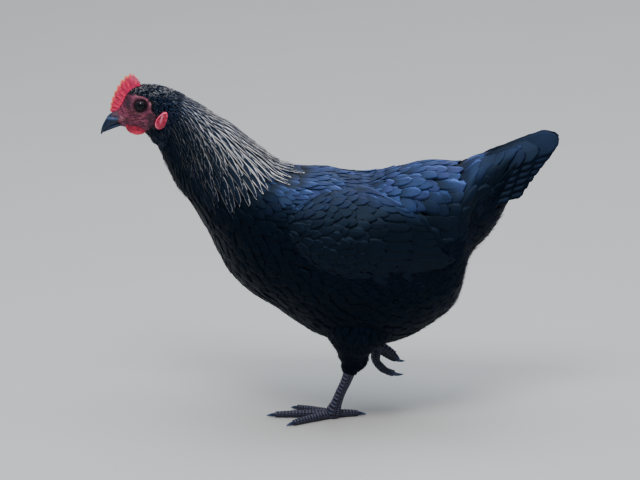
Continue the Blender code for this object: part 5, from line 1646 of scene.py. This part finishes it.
class HEN_OT_hackle(HenOperator, bpy.types.Operator):
    """Feathers of the head and the silver-edged hackle"""
    bl_idname = "hen.hackle"
    bl_label = "Hackle"

    def build(self, sizes, colours):
        body = hen_sheet()
        make_head_feathers(body)
        make_hackle(body, sizes)


class HEN_OT_body(HenOperator, bpy.types.Operator):
    """Feathers of the breast, back, saddle, belly and thighs"""
    bl_idname = "hen.body"
    bl_label = "Body feathers"

    def build(self, sizes, colours):
        body = hen_sheet()
        make_body_feathers(body, sizes)
        make_fluff(body)
        make_thighs()


class HEN_OT_wings(HenOperator, bpy.types.Operator):
    """Both folded wings"""
    bl_idname = "hen.wings"
    bl_label = "Wings"

    def build(self, sizes, colours):
        make_wings()


class HEN_OT_tail(HenOperator, bpy.types.Operator):
    """The tail and its coverts"""
    bl_idname = "hen.tail"
    bl_label = "Tail"

    def build(self, sizes, colours):
        make_tail(sizes)


class HEN_OT_legs(HenOperator, bpy.types.Operator):
    """Scaly shanks, toes and claws"""
    bl_idname = "hen.legs"
    bl_label = "Legs"

    def build(self, sizes, colours):
        make_legs(sizes)


class HEN_OT_stage(HenOperator, bpy.types.Operator):
    """Floor, lights and camera"""
    bl_idname = "hen.stage"
    bl_label = "Stage"

    def build(self, sizes, colours):
        make_stage(colours)
        make_camera()


OPERATORS = (HEN_OT_skin, HEN_OT_head, HEN_OT_hackle, HEN_OT_body, HEN_OT_wings, HEN_OT_tail, HEN_OT_legs,
             HEN_OT_stage)


class HEN_PT_panel(bpy.types.Panel):
    """The hen's operators, sizes and colours."""
    bl_label = "Norfolk Grey hen"
    bl_idname = "HEN_PT_panel"
    bl_space_type = "VIEW_3D"
    bl_region_type = "UI"
    bl_category = "Hen"

    def draw(self, context):
        """A button for each operator, then the sizes and colours."""
        for operator in OPERATORS:
            self.layout.operator(operator.bl_idname)
        for group in (context.scene.hen_sizes, context.scene.hen_colours):
            for name in group.__annotations__:
                self.layout.prop(group, name)


CLASSES = (HenSizes, HenColours, *OPERATORS, HEN_PT_panel)


def register():
    """Register the classes and give each scene its sizes and colours."""
    for item in CLASSES:
        bpy.utils.register_class(item)
    bpy.types.Scene.hen_sizes = PointerProperty(type=HenSizes)
    bpy.types.Scene.hen_colours = PointerProperty(type=HenColours)


def unregister():
    """Undo register."""
    del bpy.types.Scene.hen_colours
    del bpy.types.Scene.hen_sizes
    for item in reversed(CLASSES):
        bpy.utils.unregister_class(item)


def main():
    """Build the whole hen and its stage."""
    register()
    drop_frame_looks()
    bpy.ops.hen.stage()
    bpy.ops.hen.skin()
    bpy.ops.hen.head()
    bpy.ops.hen.hackle()
    bpy.ops.hen.body()
    bpy.ops.hen.wings()
    bpy.ops.hen.tail()
    bpy.ops.hen.legs()


if __name__ == "__main__":
    main()
